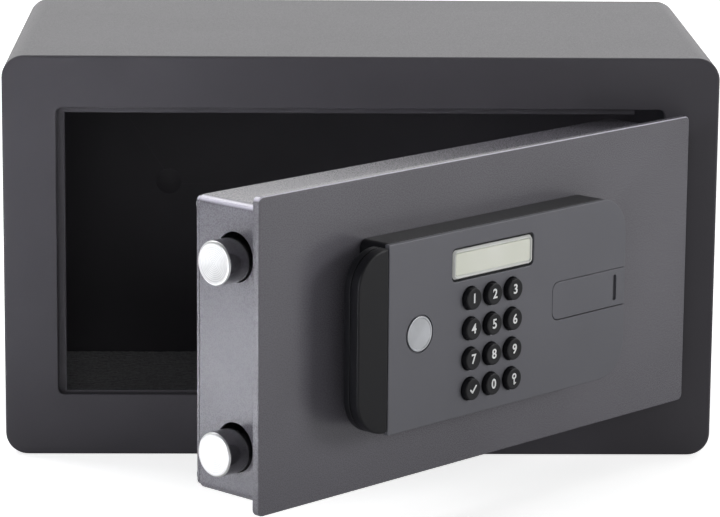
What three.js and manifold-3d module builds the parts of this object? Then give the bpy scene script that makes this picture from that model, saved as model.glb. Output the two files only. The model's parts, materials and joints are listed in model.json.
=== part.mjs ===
// In room safe: a small steel cabinet with a motor-locked door, standing open at 45 degrees.
// Millimetres, +X right, +Y back, +Z up. The origin is the centre of the cabinet's underside.

import * as THREE from 'three';
import { mergeVertices } from 'three/addons/utils/BufferGeometryUtils.js';
import Module from 'manifold-3d';

const wasm = await Module();
wasm.setup();

// ---------- driving dimensions ----------

// Facets round a full circle, by the size of the round feature.
const FINE = 36;
const MEDIUM = 24;
const COARSE = 16;

const CLEARANCE = 0.3;              // gap between pieces that rest on each other in the turned door

const CABINET = { width: 350, depth: 200, height: 200, corner: 11, sheet: 2 };
const FRAME_THICKNESS = 4.5;
const OPENING = { left: -148.7, right: 148.5, bottom: 30.6, top: 174.4, corner: 3 };
const LIP = { thickness: 1.5, left: 4, top: 3, bottom: 1.2, end: 134, overlap: 6 };
const STRIKE = { thickness: 2, setback: 0.6, depth: 36, foot: 10, hole: 11.5, overrun: 22 };
const MAT = { thickness: 3, margin: 1 };
const FIXING_HOLE = { radius: 4.5, spacing: 200 };
const WALL_PLUG = { headRadius: 7, headThickness: 1.5 };

const DOOR_OPEN_ANGLE = Math.PI / 4;
const DOOR = { left: -147.8, right: 146.3, bottom: 31.5, top: 173.5, corner: 3, thickness: 4 };
const BOX = {
  sideInset: 6, topInset: 5.6, bottomInset: 3.6, depth: 40,
  sheet: 1.5, corner: 3.5, innerCorner: 2, flange: 9,
};
const REAR_COVER = { thickness: 1.5, inset: 1 };
const SCREW = { headRadius: 3, headHeight: 1.6, shankRadius: 1.5, length: 8, fromEdge: 5 };

const PIVOT = { x: 165.5, behindFace: 10.5 };
const HINGE = {
  pinRadius: 3, pinLength: 17, headRadius: 4.5, headHeight: 2, boreRadius: 3.3, eyeRadius: 5.6,
  fromDoorEnd: 24,
  armRadius: 24, armWidth: 6, armThickness: 4, armToPlate: 1,
  leafThickness: 1.8, leafDepth: 24, leafHeight: 24,
  plateThickness: 3, webThickness: 1.4, webHeight: 24,
};

const BOLT = {
  radius: 10, chamfer: 1, reach: 13, length: 34, spigot: 4, setback: 20.8, middleZ: 99.8, spacing: 85.3,
  holeRadius: 11.25, holeRise: 0.9,
};
const CARRIAGE = { width: 8, thickness: 10, overrun: 8 };
const RACK = {
  pitchLineZ: 100.5, length: 58, width: 6, height: 8, pitch: Math.PI, addendum: 0.65, dedendum: 0.95,
};
const PINION = {
  x: -74, teeth: 12, pitchRadius: 6, tipRadius: 6.75, rootRadius: 5.15, shaftRadius: 2, shaftLength: 8,
};
const PRESSURE_ANGLE = THREE.MathUtils.degToRad(20);
const BACKLASH = 0.4;

const KEYPAD = {
  centreX: -3.85, centreZ: 103, width: 162.7, height: 86.2, depth: 18, corner: 17, leftCorner: 4,
  sharpCorner: 0.5, wall: 2, coverThickness: 2.7, endStep: 0.6,
};
const GRIP = { reach: 19.4, height: 83.3, corner: 17.6, innerCorner: 1, thickness: 9, rootOverlap: 10 };
const DISPLAY = {
  x: -12.5, z: 27.5, width: 54.6, height: 14.4, corner: 1.8, leastCorner: 0.8, gap: 0.5, proud: 0.2,
  frame: 1.5, moduleMargin: 2, moduleDepth: 4.5,
};
const BOARD = { left: -50, right: 22, halfHeight: 38, frontFromPlate: 7.6, thickness: 1.6 };
const KEY_MAT = { margin: 7, thickness: 2 };
const KEY = {
  radius: 5, edge: 0.6, hole: 5.4, stem: 3.2, stemHole: 3.6, capHeight: 4.5, stemLength: 5.1, proud: 2.6,
  x: -13.8, topRowZ: 11, pitch: 14, rows: 4, columns: 3,
};
const BADGE = { x: -61.35, radius: 8, thickness: 0.8, proud: 0.3, pocket: 0.8 };
const LOCK_COVER = {
  left: 28.8, height: 18.4, corner: 4, slotX: 73.8, slotWidth: 2.4, slotHeight: 12.5, slotDepth: 1.5,
};
const LOCK = {
  x: 52, radius: 7, bore: 5, plugRadius: 4.7, fromFace: 3.5, length: 32, stubRadius: 2.5, stubLength: 3,
  camLength: 15, camHalfWidth: 4.5, camCorner: 4.3, camThickness: 2,
  keyway: { width: 1.4, depth: 9, height: 6 },
};

const GEARBOX = { halfWidth: 12, bottom: -9, top: 30, depth: 14, corner: 3, frontGap: 1.2 };
const MOTOR = { radius: 8, length: 30, z: 21, bearingRadius: 2.7, bearingLength: 3 };
const RACK_GUIDE = { length: 12, wall: 2, lip: 3 };
const CABLE = {
  x: -20, z: 93, width: 12, thickness: 1, bend: 12, inFront: 5, run: 11, rise: 20,
  slotMargin: 2, slotHeight: 6, slotCorner: 2,
};

const CELL = { radius: 7.2, length: 49, edge: 0.6, pitch: 15, count: 4, capRadius: 2.6, capLength: 1.2 };
const TRAY = { x: 60, z: 102.5, wall: 1.5, depth: 17, endGap: 1.5 };
const HATCH = {
  width: 66, height: 72, corner: 3, lap: 5, bayCorner: 2, thickness: 1.6,
  ribs: 4, ribWidth: 1.2, ribPitch: 3, ribHeight: 0.8, ribLength: 28.8, ribsFromEdge: 8,
};
const RESET = { x: -30, z: 55, radius: 3, edge: 0.4, flange: 4.5, flangeThickness: 2, proud: 1.5 };

const COLOURS = {
  body: { color: 0x4a494d, roughness: 0.55, metalness: 0.35 },
  frame: { color: 0x4c4b4f, roughness: 0.55, metalness: 0.35 },
  inside: { color: 0x1d1c1f, roughness: 0.8, metalness: 0.2 },
  mat: { color: 0x17161a, roughness: 1.0, metalness: 0.0 },
  door: { color: 0x5d5b60, roughness: 0.5, metalness: 0.4 },
  steel: { color: 0xa4a6aa, roughness: 0.35, metalness: 0.9 },
  chrome: { color: 0xd9dadd, roughness: 0.1, metalness: 1.0 },
  blackPlastic: { color: 0x202024, roughness: 0.4, metalness: 0.0 },
  face: { color: 0x67676c, roughness: 0.45, metalness: 0.35 },
  key: { color: 0x151518, roughness: 0.45, metalness: 0.0 },
  glass: { color: 0xc9cac2, roughness: 0.15, metalness: 0.0 },
  badge: { color: 0xb9bbbf, roughness: 0.3, metalness: 0.8 },
  board: { color: 0x1f5a38, roughness: 0.6, metalness: 0.0 },
  brass: { color: 0xb59a55, roughness: 0.35, metalness: 0.9 },
  rubber: { color: 0x2c2c2f, roughness: 0.9, metalness: 0.0 },
  cell: { color: 0x8a6a3a, roughness: 0.4, metalness: 0.4 },
};

const FRONT_Y = -CABINET.depth / 2;
const REAR_Y = CABINET.depth / 2;
const FRAME_BACK_Y = FRONT_Y + FRAME_THICKNESS;
const PIVOT_Y = FRONT_Y + PIVOT.behindFace;
const DOOR_BACK_Y = FRONT_Y + DOOR.thickness;
const BOX_LEFT = DOOR.left + BOX.sideInset;
const BOX_RIGHT = DOOR.right - BOX.sideInset;
const BOX_BOTTOM = DOOR.bottom + BOX.bottomInset;
const BOX_TOP = DOOR.top - BOX.topInset;
const BOX_BACK_Y = DOOR_BACK_Y + BOX.depth;
const BOLT_Y = FRONT_Y + BOLT.setback;
const BOLT_HEIGHTS = { top: BOLT.middleZ + BOLT.spacing / 2, bottom: BOLT.middleZ - BOLT.spacing / 2 };
const BOLT_TIP_X = BOX_LEFT - BOLT.reach;

// ---------- shapes and solids ----------

/** Rounded rectangle outline; corners are [bottom left, bottom right, top right, top left] radii. */
function roundedOutline(target, left, right, bottom, top, corners) {
  const [bl, br, tr, tl] = Array.isArray(corners) ? corners : [corners, corners, corners, corners];
  target.moveTo(left + bl, bottom);
  target.lineTo(right - br, bottom);
  target.absarc(right - br, bottom + br, br, -Math.PI / 2, 0);
  target.lineTo(right, top - tr);
  target.absarc(right - tr, top - tr, tr, 0, Math.PI / 2);
  target.lineTo(left + tl, top);
  target.absarc(left + tl, top - tl, tl, Math.PI / 2, Math.PI);
  target.lineTo(left, bottom + bl);
  target.absarc(left + bl, bottom + bl, bl, Math.PI, 1.5 * Math.PI);
  return target;
}

const roundedRect = (...limits) => roundedOutline(new THREE.Shape(), ...limits);

/** The shape's plane becomes XZ, and it fills the depth from frontY to backY. */
function plate(shape, frontY, backY, curveSegments = 4) {
  const options = { depth: backY - frontY, bevelEnabled: false, curveSegments };
  const geometry = new THREE.ExtrudeGeometry(shape, options);
  geometry.rotateX(Math.PI / 2);
  geometry.translate(0, backY, 0);
  return geometry;
}

/** The shape's plane is XY, and it stands from bottomZ up to topZ. */
function standing(shape, bottomZ, topZ, curveSegments = 8) {
  const options = { depth: topZ - bottomZ, bevelEnabled: false, curveSegments };
  const geometry = new THREE.ExtrudeGeometry(shape, options);
  geometry.translate(0, 0, bottomZ);
  return geometry;
}

function block(x0, x1, y0, y1, z0, z1) {
  const geometry = new THREE.BoxGeometry(x1 - x0, y1 - y0, z1 - z0);
  geometry.translate((x0 + x1) / 2, (y0 + y1) / 2, (z0 + z1) / 2);
  return geometry;
}

function rodX(radius, x0, x1, y, z, segments = MEDIUM) {
  const geometry = new THREE.CylinderGeometry(radius, radius, x1 - x0, segments);
  geometry.rotateZ(Math.PI / 2);
  geometry.translate((x0 + x1) / 2, y, z);
  return geometry;
}

function rodY(radius, y0, y1, x, z, segments = MEDIUM) {
  const geometry = new THREE.CylinderGeometry(radius, radius, y1 - y0, segments);
  geometry.translate(x, (y0 + y1) / 2, z);
  return geometry;
}

function rodZ(radius, z0, z1, x, y, segments = MEDIUM) {
  const geometry = new THREE.CylinderGeometry(radius, radius, z1 - z0, segments);
  geometry.rotateX(Math.PI / 2);
  geometry.translate(x, y, (z0 + z1) / 2);
  return geometry;
}

function toSolid(geometry) {
  const bare = geometry.clone();
  bare.deleteAttribute('normal');
  bare.deleteAttribute('uv');
  const merged = mergeVertices(bare, 1e-4);
  return new wasm.Manifold(new wasm.Mesh({
    numProp: 3,
    vertProperties: new Float32Array(merged.attributes.position.array),
    triVerts: new Uint32Array(merged.index.array),
  }));
}

function toGeometry(solid) {
  const mesh = solid.getMesh();
  const geometry = new THREE.BufferGeometry();
  geometry.setAttribute('position', new THREE.BufferAttribute(new Float32Array(mesh.vertProperties), 3));
  geometry.setIndex(new THREE.BufferAttribute(new Uint32Array(mesh.triVerts), 1));
  geometry.computeVertexNormals();
  return geometry;
}

/** Body of revolution about Y from [radius, y] pairs. */
function lathe(profile, segments) {
  return new THREE.LatheGeometry(profile.map(([radius, y]) => new THREE.Vector2(radius, y)), segments);
}

const cut = (base, ...tools) => toGeometry(
  tools.reduce((solid, tool) => solid.subtract(toSolid(tool)), toSolid(base)));

const join = (base, ...others) => toGeometry(
  others.reduce((solid, other) => solid.add(toSolid(other)), toSolid(base)));

function piece(parent, name, geometry, look, position = [0, 0, 0]) {
  const mesh = new THREE.Mesh(geometry, new THREE.MeshStandardMaterial(look));
  mesh.name = name;
  mesh.position.set(...position);
  parent.add(mesh);
  return mesh;
}

// ---------- cabinet ----------

function cabinetOutline(inset) {
  const side = CABINET.width / 2 - inset;
  return roundedRect(-side, side, inset, CABINET.height - inset, CABINET.corner - inset);
}

function bodyWrap() {
  const outline = cabinetOutline(0);
  outline.holes.push(cabinetOutline(CABINET.sheet));
  const wrap = plate(outline, FRAME_BACK_Y, REAR_Y - CABINET.sheet, 6);
  const holes = [-1, 1].map((side) => rodZ(
    FIXING_HOLE.radius, -1, CABINET.sheet + 1, side * FIXING_HOLE.spacing / 2, 0, COARSE));
  return cut(wrap, ...holes);
}

function rearPanel() {
  const panel = plate(cabinetOutline(0), REAR_Y - CABINET.sheet, REAR_Y, 6);
  const holes = [-1, 1].map((side) => rodY(FIXING_HOLE.radius, REAR_Y - CABINET.sheet - 1, REAR_Y + 1,
    side * FIXING_HOLE.spacing / 2, CABINET.height / 2, COARSE));
  return cut(panel, ...holes);
}

function frontFrame() {
  const outline = cabinetOutline(0);
  const { left, right, bottom, top, corner } = OPENING;
  outline.holes.push(roundedRect(left, right, bottom, top, corner));
  return plate(outline, FRONT_Y, FRAME_BACK_Y, 6);
}

/** A plug that closes a fixing hole in the rear panel: its stem fills the hole, and its head is inside. */
function wallPlug() {
  const { headRadius, headThickness } = WALL_PLUG;
  const stemRadius = FIXING_HOLE.radius - CLEARANCE;
  const stemEnd = CABINET.sheet - CLEARANCE;
  return lathe([
    [0, -headThickness], [headRadius - headThickness / 2, -headThickness], [headRadius, -headThickness / 2],
    [headRadius, 0], [stemRadius, 0], [stemRadius, stemEnd], [0, stemEnd],
  ], MEDIUM);
}

/** A flat strip round the top, lock side and bottom of the opening, behind the frame plate. */
function stopLip() {
  const { left, bottom, top } = OPENING;
  const backY = FRAME_BACK_Y + LIP.thickness;
  const strip = block(left - LIP.overlap, LIP.end, FRAME_BACK_Y, backY,
    bottom - LIP.overlap, top + LIP.overlap);
  const middle = block(left + LIP.left, LIP.end + 1, FRAME_BACK_Y - 1, backY + 1,
    bottom + LIP.bottom, top - LIP.top);
  return cut(strip, middle);
}

/** An upright plate beside the opening that the two bolts enter, with a foot along the frame. */
function strikePlate() {
  const right = OPENING.left - STRIKE.setback;
  const frontY = FRAME_BACK_Y + LIP.thickness;
  const bottom = BOLT_HEIGHTS.bottom - STRIKE.overrun;
  const top = BOLT_HEIGHTS.top + STRIKE.overrun;
  const upright = block(right - STRIKE.thickness, right, frontY, frontY + STRIKE.depth, bottom, top);
  const foot = block(right - STRIKE.foot, right - STRIKE.thickness / 2, frontY, frontY + STRIKE.thickness,
    bottom, top);
  const holes = Object.values(BOLT_HEIGHTS).map((z) => rodX(
    STRIKE.hole, right - STRIKE.foot, right + 1, BOLT_Y, z, FINE));
  return cut(join(upright, foot), ...holes);
}

function floorMat() {
  const side = CABINET.width / 2 - CABINET.corner - MAT.margin;
  const frontY = FRAME_BACK_Y + MAT.margin;
  const backY = REAR_Y - CABINET.sheet - MAT.margin;
  return block(-side, side, frontY, backY, 0, MAT.thickness);
}

/** A shelf behind the frame's hinge-side border that carries one pin. */
function hingeBracket() {
  const wallX = CABINET.width / 2 - CABINET.sheet;
  const halfPlate = HINGE.plateThickness / 2;
  const shelf = block(PIVOT.x - HINGE.eyeRadius, wallX, FRAME_BACK_Y, PIVOT_Y + HINGE.eyeRadius,
    -halfPlate, halfPlate);
  const web = block(wallX - HINGE.webThickness, wallX, FRAME_BACK_Y, PIVOT_Y + 2 * HINGE.eyeRadius,
    -HINGE.webHeight / 2, HINGE.webHeight / 2);
  const bore = rodZ(HINGE.boreRadius, -HINGE.plateThickness, HINGE.plateThickness, PIVOT.x, PIVOT_Y);
  return cut(join(shelf, web), bore);
}

/** A headed pin that hangs through a bracket's bore and the arm's eye; side is +1 at the top, -1 below. */
function hingePin(side) {
  const { pinRadius, pinLength, headRadius, headHeight } = HINGE;
  const head = HINGE.plateThickness / 2;
  const tip = head - pinLength;
  const pin = lathe([
    [0, tip], [pinRadius, tip], [pinRadius, head], [headRadius, head], [headRadius, head + headHeight],
    [0, head + headHeight],
  ], MEDIUM);
  pin.rotateX(side * Math.PI / 2);
  return pin;
}

const ARM_HEIGHTS = { top: DOOR.top - HINGE.fromDoorEnd, bottom: DOOR.bottom + HINGE.fromDoorEnd };
const BRACKET_STEP = HINGE.plateThickness / 2 + HINGE.armThickness / 2 + HINGE.armToPlate;

function cabinet() {
  const group = new THREE.Group();
  piece(group, 'body_wrap', bodyWrap(), COLOURS.body);
  piece(group, 'rear_panel', rearPanel(), COLOURS.body);
  for (const [end, side] of [['left', -1], ['right', 1]]) {
    const place = [side * FIXING_HOLE.spacing / 2, REAR_Y - CABINET.sheet, CABINET.height / 2];
    piece(group, `wall_plug_${end}`, wallPlug(), COLOURS.blackPlastic, place);
  }
  piece(group, 'front_frame', frontFrame(), COLOURS.frame);
  piece(group, 'stop_lip', stopLip(), COLOURS.inside);
  piece(group, 'strike_plate', strikePlate(), COLOURS.inside);
  piece(group, 'floor_mat', floorMat(), COLOURS.mat, [0, 0, CABINET.sheet]);
  for (const [end, side] of [['top', 1], ['bottom', -1]]) {
    const z = ARM_HEIGHTS[end] + side * BRACKET_STEP;
    piece(group, `hinge_bracket_${end}`, hingeBracket(), COLOURS.inside, [0, 0, z]);
    piece(group, `hinge_pin_${end}`, hingePin(side), COLOURS.steel, [PIVOT.x, PIVOT_Y, z]);
  }
  return group;
}

// ---------- door leaf, in closed-door positions ----------

function doorPlate() {
  const slab = plate(roundedRect(DOOR.left, DOOR.right, DOOR.bottom, DOOR.top, DOOR.corner),
    FRONT_Y, DOOR_BACK_Y);
  const through = [FRONT_Y - 1, DOOR_BACK_Y + 1];
  const { x, z, slotCorner } = CABLE;
  const halfWidth = CABLE.width / 2 + CABLE.slotMargin;
  const halfHeight = CABLE.slotHeight / 2;
  const slot = plate(roundedRect(x - halfWidth, x + halfWidth, z - halfHeight, z + halfHeight, slotCorner),
    ...through);
  const lock = rodY(LOCK.radius + CLEARANCE, ...through, KEYPAD.centreX + LOCK.x, KEYPAD.centreZ);
  return cut(slab, slot, lock);
}

/** Four walls behind the plate with an inward flange at the rear and two bolt holes on the lock side. */
function doorBox() {
  const frontY = DOOR_BACK_Y + CLEARANCE;
  const insideBackY = BOX_BACK_Y - BOX.sheet;
  const outer = plate(boxOutline(0, BOX.corner), frontY, BOX_BACK_Y);
  const inside = plate(boxOutline(BOX.sheet, BOX.innerCorner), frontY - 1, insideBackY);
  const rearWindow = plate(boxOutline(BOX.flange, BOX.innerCorner), insideBackY - 1, BOX_BACK_Y + 1);
  const boltHoles = Object.values(BOLT_HEIGHTS).map((z) => rodX(
    BOLT.holeRadius, BOX_LEFT - 1, BOX_LEFT + BOX.sheet + 1, BOLT_Y, z + BOLT.holeRise, FINE));
  const screwHoles = screwCorners().map(([x, z]) => rodY(
    SCREW.shankRadius + CLEARANCE, insideBackY - 1, BOX_BACK_Y + 1, x, z, COARSE));
  return cut(outer, inside, rearWindow, ...boltHoles, ...screwHoles);
}

function boxOutline(inset, corner) {
  return roundedRect(BOX_LEFT + inset, BOX_RIGHT - inset, BOX_BOTTOM + inset, BOX_TOP - inset, corner);
}

function screwCorners() {
  const inset = SCREW.fromEdge;
  return [
    [BOX_LEFT + inset, BOX_TOP - inset], [BOX_RIGHT - inset, BOX_TOP - inset],
    [BOX_LEFT + inset, BOX_BOTTOM + inset], [BOX_RIGHT - inset, BOX_BOTTOM + inset],
  ];
}

const COVER_FRONT_Y = BOX_BACK_Y + CLEARANCE;
const COVER_BACK_Y = COVER_FRONT_Y + REAR_COVER.thickness;

function rearCover() {
  const { inset } = REAR_COVER;
  const sheet = plate(boxOutline(inset, BOX.corner - inset), COVER_FRONT_Y, COVER_BACK_Y);
  const through = [COVER_FRONT_Y - 1, COVER_BACK_Y + 1];
  const halfWidth = HATCH.width / 2 - HATCH.lap;
  const halfHeight = HATCH.height / 2 - HATCH.lap;
  const bay = plate(roundedRect(TRAY.x - halfWidth, TRAY.x + halfWidth, TRAY.z - halfHeight,
    TRAY.z + halfHeight, HATCH.bayCorner), ...through);
  const reset = rodY(RESET.radius + CLEARANCE, ...through, RESET.x, RESET.z, COARSE);
  const holes = screwCorners().map(([x, z]) => rodY(
    SCREW.shankRadius + CLEARANCE, ...through, x, z, COARSE));
  return cut(sheet, bay, reset, ...holes);
}

/** Pan-head screw along Y with its head to the rear; the origin is under the head. */
function coverScrew() {
  const { headRadius, headHeight, shankRadius, length } = SCREW;
  return lathe([
    [0, -length], [shankRadius, -length], [shankRadius, 0], [headRadius, 0],
    [headRadius, headHeight / 2], [headRadius / 2, headHeight], [0, headHeight],
  ], COARSE);
}

/** Gooseneck in plan: an eye on the pin, a straight neck backwards, then a quarter ring to the box wall. */
function hingeArm() {
  const { eyeRadius, armRadius, armWidth, armThickness, leafThickness, leafDepth, leafHeight } = HINGE;
  const half = armThickness / 2;
  const inner = armRadius - armWidth / 2;
  const outer = armRadius + armWidth / 2;
  const wallX = BOX_RIGHT - PIVOT.x + CLEARANCE;
  const ring = new THREE.Shape();
  ring.absarc(0, 0, outer, Math.PI / 2, Math.PI, false);
  ring.absarc(0, 0, inner, Math.PI, Math.PI / 2, true);
  const neck = block(-armWidth / 2, armWidth / 2, 0, outer - 1, -half, half);
  const leaf = block(wallX, wallX + leafThickness, 0, leafDepth, -leafHeight / 2, leafHeight / 2);
  const beyondWall = block(-2 * outer, wallX, -2 * outer, 2 * outer, -leafHeight, leafHeight);
  const body = join(rodZ(eyeRadius, -half, half, 0, 0), neck, standing(ring, -half, half), leaf);
  return cut(body, beyondWall, rodZ(HINGE.boreRadius, -half - 1, half + 1, 0, 0));
}

/** Bolt along X: chamfered round nose at -X, and a spigot that enters the carriage. */
function lockingBolt() {
  const { radius, chamfer, length, spigot } = BOLT;
  const bolt = lathe([
    [0, 0], [radius - chamfer, 0], [radius, chamfer], [radius, length], [spigot, length],
    [spigot, length + CARRIAGE.width], [0, length + CARRIAGE.width],
  ], FINE);
  bolt.rotateZ(-Math.PI / 2);
  return bolt;
}

/** Upright bar that ties both bolts together, with a toothed rack reaching towards the hinge side. */
function boltCarriage() {
  const left = BOLT_TIP_X + BOLT.length + CLEARANCE;
  const right = left + CARRIAGE.width;
  const half = CARRIAGE.thickness / 2;
  const bar = block(left, right, BOLT_Y - half, BOLT_Y + half,
    BOLT_HEIGHTS.bottom - CARRIAGE.overrun, BOLT_HEIGHTS.top + CARRIAGE.overrun);
  const rack = plate(rackOutline(right - 1), BOLT_Y - RACK.width / 2, BOLT_Y + RACK.width / 2);
  const sockets = Object.values(BOLT_HEIGHTS).map((z) => rodX(
    BOLT.spigot + CLEARANCE, left - 1, right + 1, BOLT_Y, z, COARSE));
  return cut(join(bar, rack), ...sockets);
}

const PINION_PLACE = { x: PINION.x, z: RACK.pitchLineZ + PINION.pitchRadius };

/** Straight-flanked teeth on the top edge; one tooth gap stands right under the pinion's centre. */
function rackOutline(startX) {
  const { pitchLineZ, length, height, pitch, addendum, dedendum } = RACK;
  const endX = startX + length;
  const tip = pitchLineZ + addendum;
  const root = pitchLineZ - dedendum;
  const slope = Math.tan(PRESSURE_ANGLE);
  const halfTooth = (pitch - BACKLASH) / 4;
  const outline = new THREE.Shape();
  outline.moveTo(startX, pitchLineZ - height);
  outline.lineTo(endX, pitchLineZ - height);
  outline.lineTo(endX, root);
  const wholePitches = Math.floor((endX - PINION_PLACE.x) / pitch - 1);
  const firstTooth = PINION_PLACE.x + (wholePitches + 0.5) * pitch;
  for (let x = firstTooth; x > startX + 2 * pitch; x -= pitch) {
    outline.lineTo(x + halfTooth + dedendum * slope, root);
    outline.lineTo(x + halfTooth - addendum * slope, tip);
    outline.lineTo(x - halfTooth + addendum * slope, tip);
    outline.lineTo(x - halfTooth - dedendum * slope, root);
  }
  outline.lineTo(startX, root);
  return outline;
}

/** Spur gear with involute flanks; one tooth points straight down at the rack's gap. */
function pinionOutline() {
  const { teeth, pitchRadius, tipRadius, rootRadius } = PINION;
  const baseRadius = pitchRadius * Math.cos(PRESSURE_ANGLE);
  const involute = (radius) => {
    const tangent = Math.sqrt(Math.max((radius / baseRadius) ** 2 - 1, 0));
    return tangent - Math.atan(tangent);
  };
  const halfAngle = (RACK.pitch - BACKLASH) / 4 / pitchRadius;
  const flankAngle = (radius) => halfAngle + involute(pitchRadius) - involute(Math.max(radius, baseRadius));
  const at = (radius, angle) => new THREE.Vector2(radius * Math.cos(angle), radius * Math.sin(angle));
  const radii = [rootRadius, baseRadius, (baseRadius + tipRadius) / 2, tipRadius];
  const points = [];
  for (let tooth = 0; tooth < teeth; tooth += 1) {
    const centre = -Math.PI / 2 + tooth * 2 * Math.PI / teeth;
    radii.forEach((radius) => points.push(at(radius, centre - flankAngle(radius))));
    radii.toReversed().forEach((radius) => points.push(at(radius, centre + flankAngle(radius))));
  }
  return new THREE.Shape(points);
}

function drivePinion() {
  const half = RACK.width / 2;
  const gear = plate(pinionOutline(), -half, half);
  return join(gear, rodY(PINION.shaftRadius, -half, half + PINION.shaftLength, 0, 0, COARSE));
}

const GEARBOX_FRONT_Y = BOLT_Y + RACK.width / 2 + GEARBOX.frontGap;

/** Gear housing with a blind hole for the pinion's shaft. */
function gearbox() {
  const { halfWidth, bottom, top, depth, corner } = GEARBOX;
  const { x, z } = PINION_PLACE;
  const housing = plate(roundedRect(x - halfWidth, x + halfWidth, z + bottom, z + top, corner),
    GEARBOX_FRONT_Y, GEARBOX_FRONT_Y + depth);
  const holeEndY = GEARBOX_FRONT_Y + PINION.shaftLength;
  return cut(housing, rodY(PINION.shaftRadius + CLEARANCE, GEARBOX_FRONT_Y - 1, holeEndY, x, z, COARSE));
}

function lockMotor() {
  const { radius, length, bearingRadius, bearingLength } = MOTOR;
  const start = PINION_PLACE.x + GEARBOX.halfWidth + CLEARANCE;
  const end = start + length;
  const y = GEARBOX_FRONT_Y + GEARBOX.depth / 2;
  const z = PINION_PLACE.z + MOTOR.z;
  return join(
    rodX(radius, start, end, y, z),
    rodX(bearingRadius, end - 1, end + bearingLength, y, z, COARSE));
}

/** A channel under the rack that keeps it level. */
function rackGuide() {
  const { length, wall, lip } = RACK_GUIDE;
  const x = PINION_PLACE.x - length / 2;
  const half = RACK.width / 2 + CLEARANCE;
  const rackBottom = RACK.pitchLineZ - RACK.height;
  const channel = block(x, x + length, DOOR_BACK_Y + CLEARANCE, BOLT_Y + half + wall,
    rackBottom - CLEARANCE - wall, rackBottom + lip);
  const slot = block(x - 1, x + length + 1, BOLT_Y - half, BOLT_Y + half,
    rackBottom - CLEARANCE, rackBottom + lip + 1);
  return cut(channel, slot);
}

/** Flat cable that comes back through the plate's slot and turns up towards the motor. */
function ribbonCable() {
  const { width, thickness, bend, run, rise } = CABLE;
  const ribbon = new THREE.Shape();
  ribbon.moveTo(0, 0);
  ribbon.lineTo(run, 0);
  ribbon.absarc(run, bend, bend, -Math.PI / 2, 0);
  ribbon.lineTo(run + bend, bend + rise);
  ribbon.lineTo(run + bend - thickness, bend + rise);
  ribbon.lineTo(run + bend - thickness, bend);
  ribbon.absarc(run, bend, bend - thickness, 0, -Math.PI / 2, true);
  ribbon.lineTo(0, thickness);
  const options = { depth: width, bevelEnabled: false, curveSegments: 6 };
  const geometry = new THREE.ExtrudeGeometry(ribbon, options);
  geometry.rotateX(Math.PI / 2);
  geometry.rotateZ(Math.PI / 2);
  geometry.translate(-width / 2, 0, 0);
  return geometry;
}

// ---------- battery bay and reset button, on the inside of the door ----------

const TRAY_BACK_Y = COVER_FRONT_Y - CLEARANCE;
const TRAY_FRONT_Y = TRAY_BACK_Y - TRAY.depth;
const BAY_HALF_WIDTH = CELL.length / 2 + CELL.capLength + TRAY.endGap;
const BAY_HALF_HEIGHT = CELL.count * CELL.pitch / 2;

function batteryTray() {
  const { wall } = TRAY;
  const outer = block(-BAY_HALF_WIDTH - wall, BAY_HALF_WIDTH + wall, TRAY_FRONT_Y, TRAY_BACK_Y,
    -BAY_HALF_HEIGHT - wall, BAY_HALF_HEIGHT + wall);
  const bay = block(-BAY_HALF_WIDTH, BAY_HALF_WIDTH, TRAY_FRONT_Y + wall, TRAY_BACK_Y + 1,
    -BAY_HALF_HEIGHT, BAY_HALF_HEIGHT);
  return cut(outer, bay);
}

/** A cell along X with its raised contact at +X. */
function cell() {
  const { radius, length, edge, capRadius, capLength } = CELL;
  const half = length / 2;
  const geometry = lathe([
    [0, -half], [radius - edge, -half], [radius, -half + edge], [radius, half - edge],
    [radius - edge, half], [capRadius, half], [capRadius, half + capLength], [0, half + capLength],
  ], COARSE);
  geometry.rotateZ(-Math.PI / 2);
  return geometry;
}

/** Flat cover with upright grip ribs near one edge; y = 0 is its inner face. */
function batteryCover() {
  const { width, height, corner, thickness, ribHeight, ribLength } = HATCH;
  const panel = plate(roundedRect(-width / 2, width / 2, -height / 2, height / 2, corner), 0, thickness);
  const ribs = Array.from({ length: HATCH.ribs }, (_, index) => {
    const x = -width / 2 + HATCH.ribsFromEdge + index * HATCH.ribPitch;
    return block(x, x + HATCH.ribWidth, thickness / 2, thickness + ribHeight, -ribLength / 2, ribLength / 2);
  });
  return join(panel, ...ribs);
}

/** Round button along Y with an inner flange that keeps it behind the cover; y = 0 is its pressed face. */
function resetButton() {
  const { radius, edge, flange, flangeThickness, proud } = RESET;
  const under = -(proud + REAR_COVER.thickness + 2 * CLEARANCE);
  const bottom = under - flangeThickness;
  return lathe([
    [0, bottom], [flange, bottom], [flange, under], [radius, under],
    [radius, -edge], [radius - edge, 0], [0, 0],
  ], COARSE);
}

// ---------- keypad housing; y = 0 is the door plate's front, and -y is towards the user ----------

const COVER_BOTTOM_Y = -(KEYPAD.depth - KEYPAD.coverThickness);
const BASE_FRONT_Y = COVER_BOTTOM_Y + CLEARANCE;
const BASE_INNER_Y = BASE_FRONT_Y + KEYPAD.wall;
const FACE_LEFT = -KEYPAD.width / 2;
const FACE_RIGHT = KEYPAD.width / 2;
const GRIP_LEFT = FACE_LEFT - GRIP.reach;

function keyPlaces() {
  const places = [];
  const firstX = KEY.x - (KEY.columns - 1) / 2 * KEY.pitch;
  for (let row = 0; row < KEY.rows; row += 1) {
    for (let column = 0; column < KEY.columns; column += 1) {
      places.push([firstX + column * KEY.pitch, KEY.topRowZ - row * KEY.pitch]);
    }
  }
  return places;
}

/** The display opening's outline, made smaller by margin on every side. */
function windowOutline(margin) {
  const halfWidth = DISPLAY.width / 2 - margin;
  const halfHeight = DISPLAY.height / 2 - margin;
  return roundedRect(DISPLAY.x - halfWidth, DISPLAY.x + halfWidth, DISPLAY.z - halfHeight,
    DISPLAY.z + halfHeight, Math.max(DISPLAY.corner - margin, DISPLAY.leastCorner));
}

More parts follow.
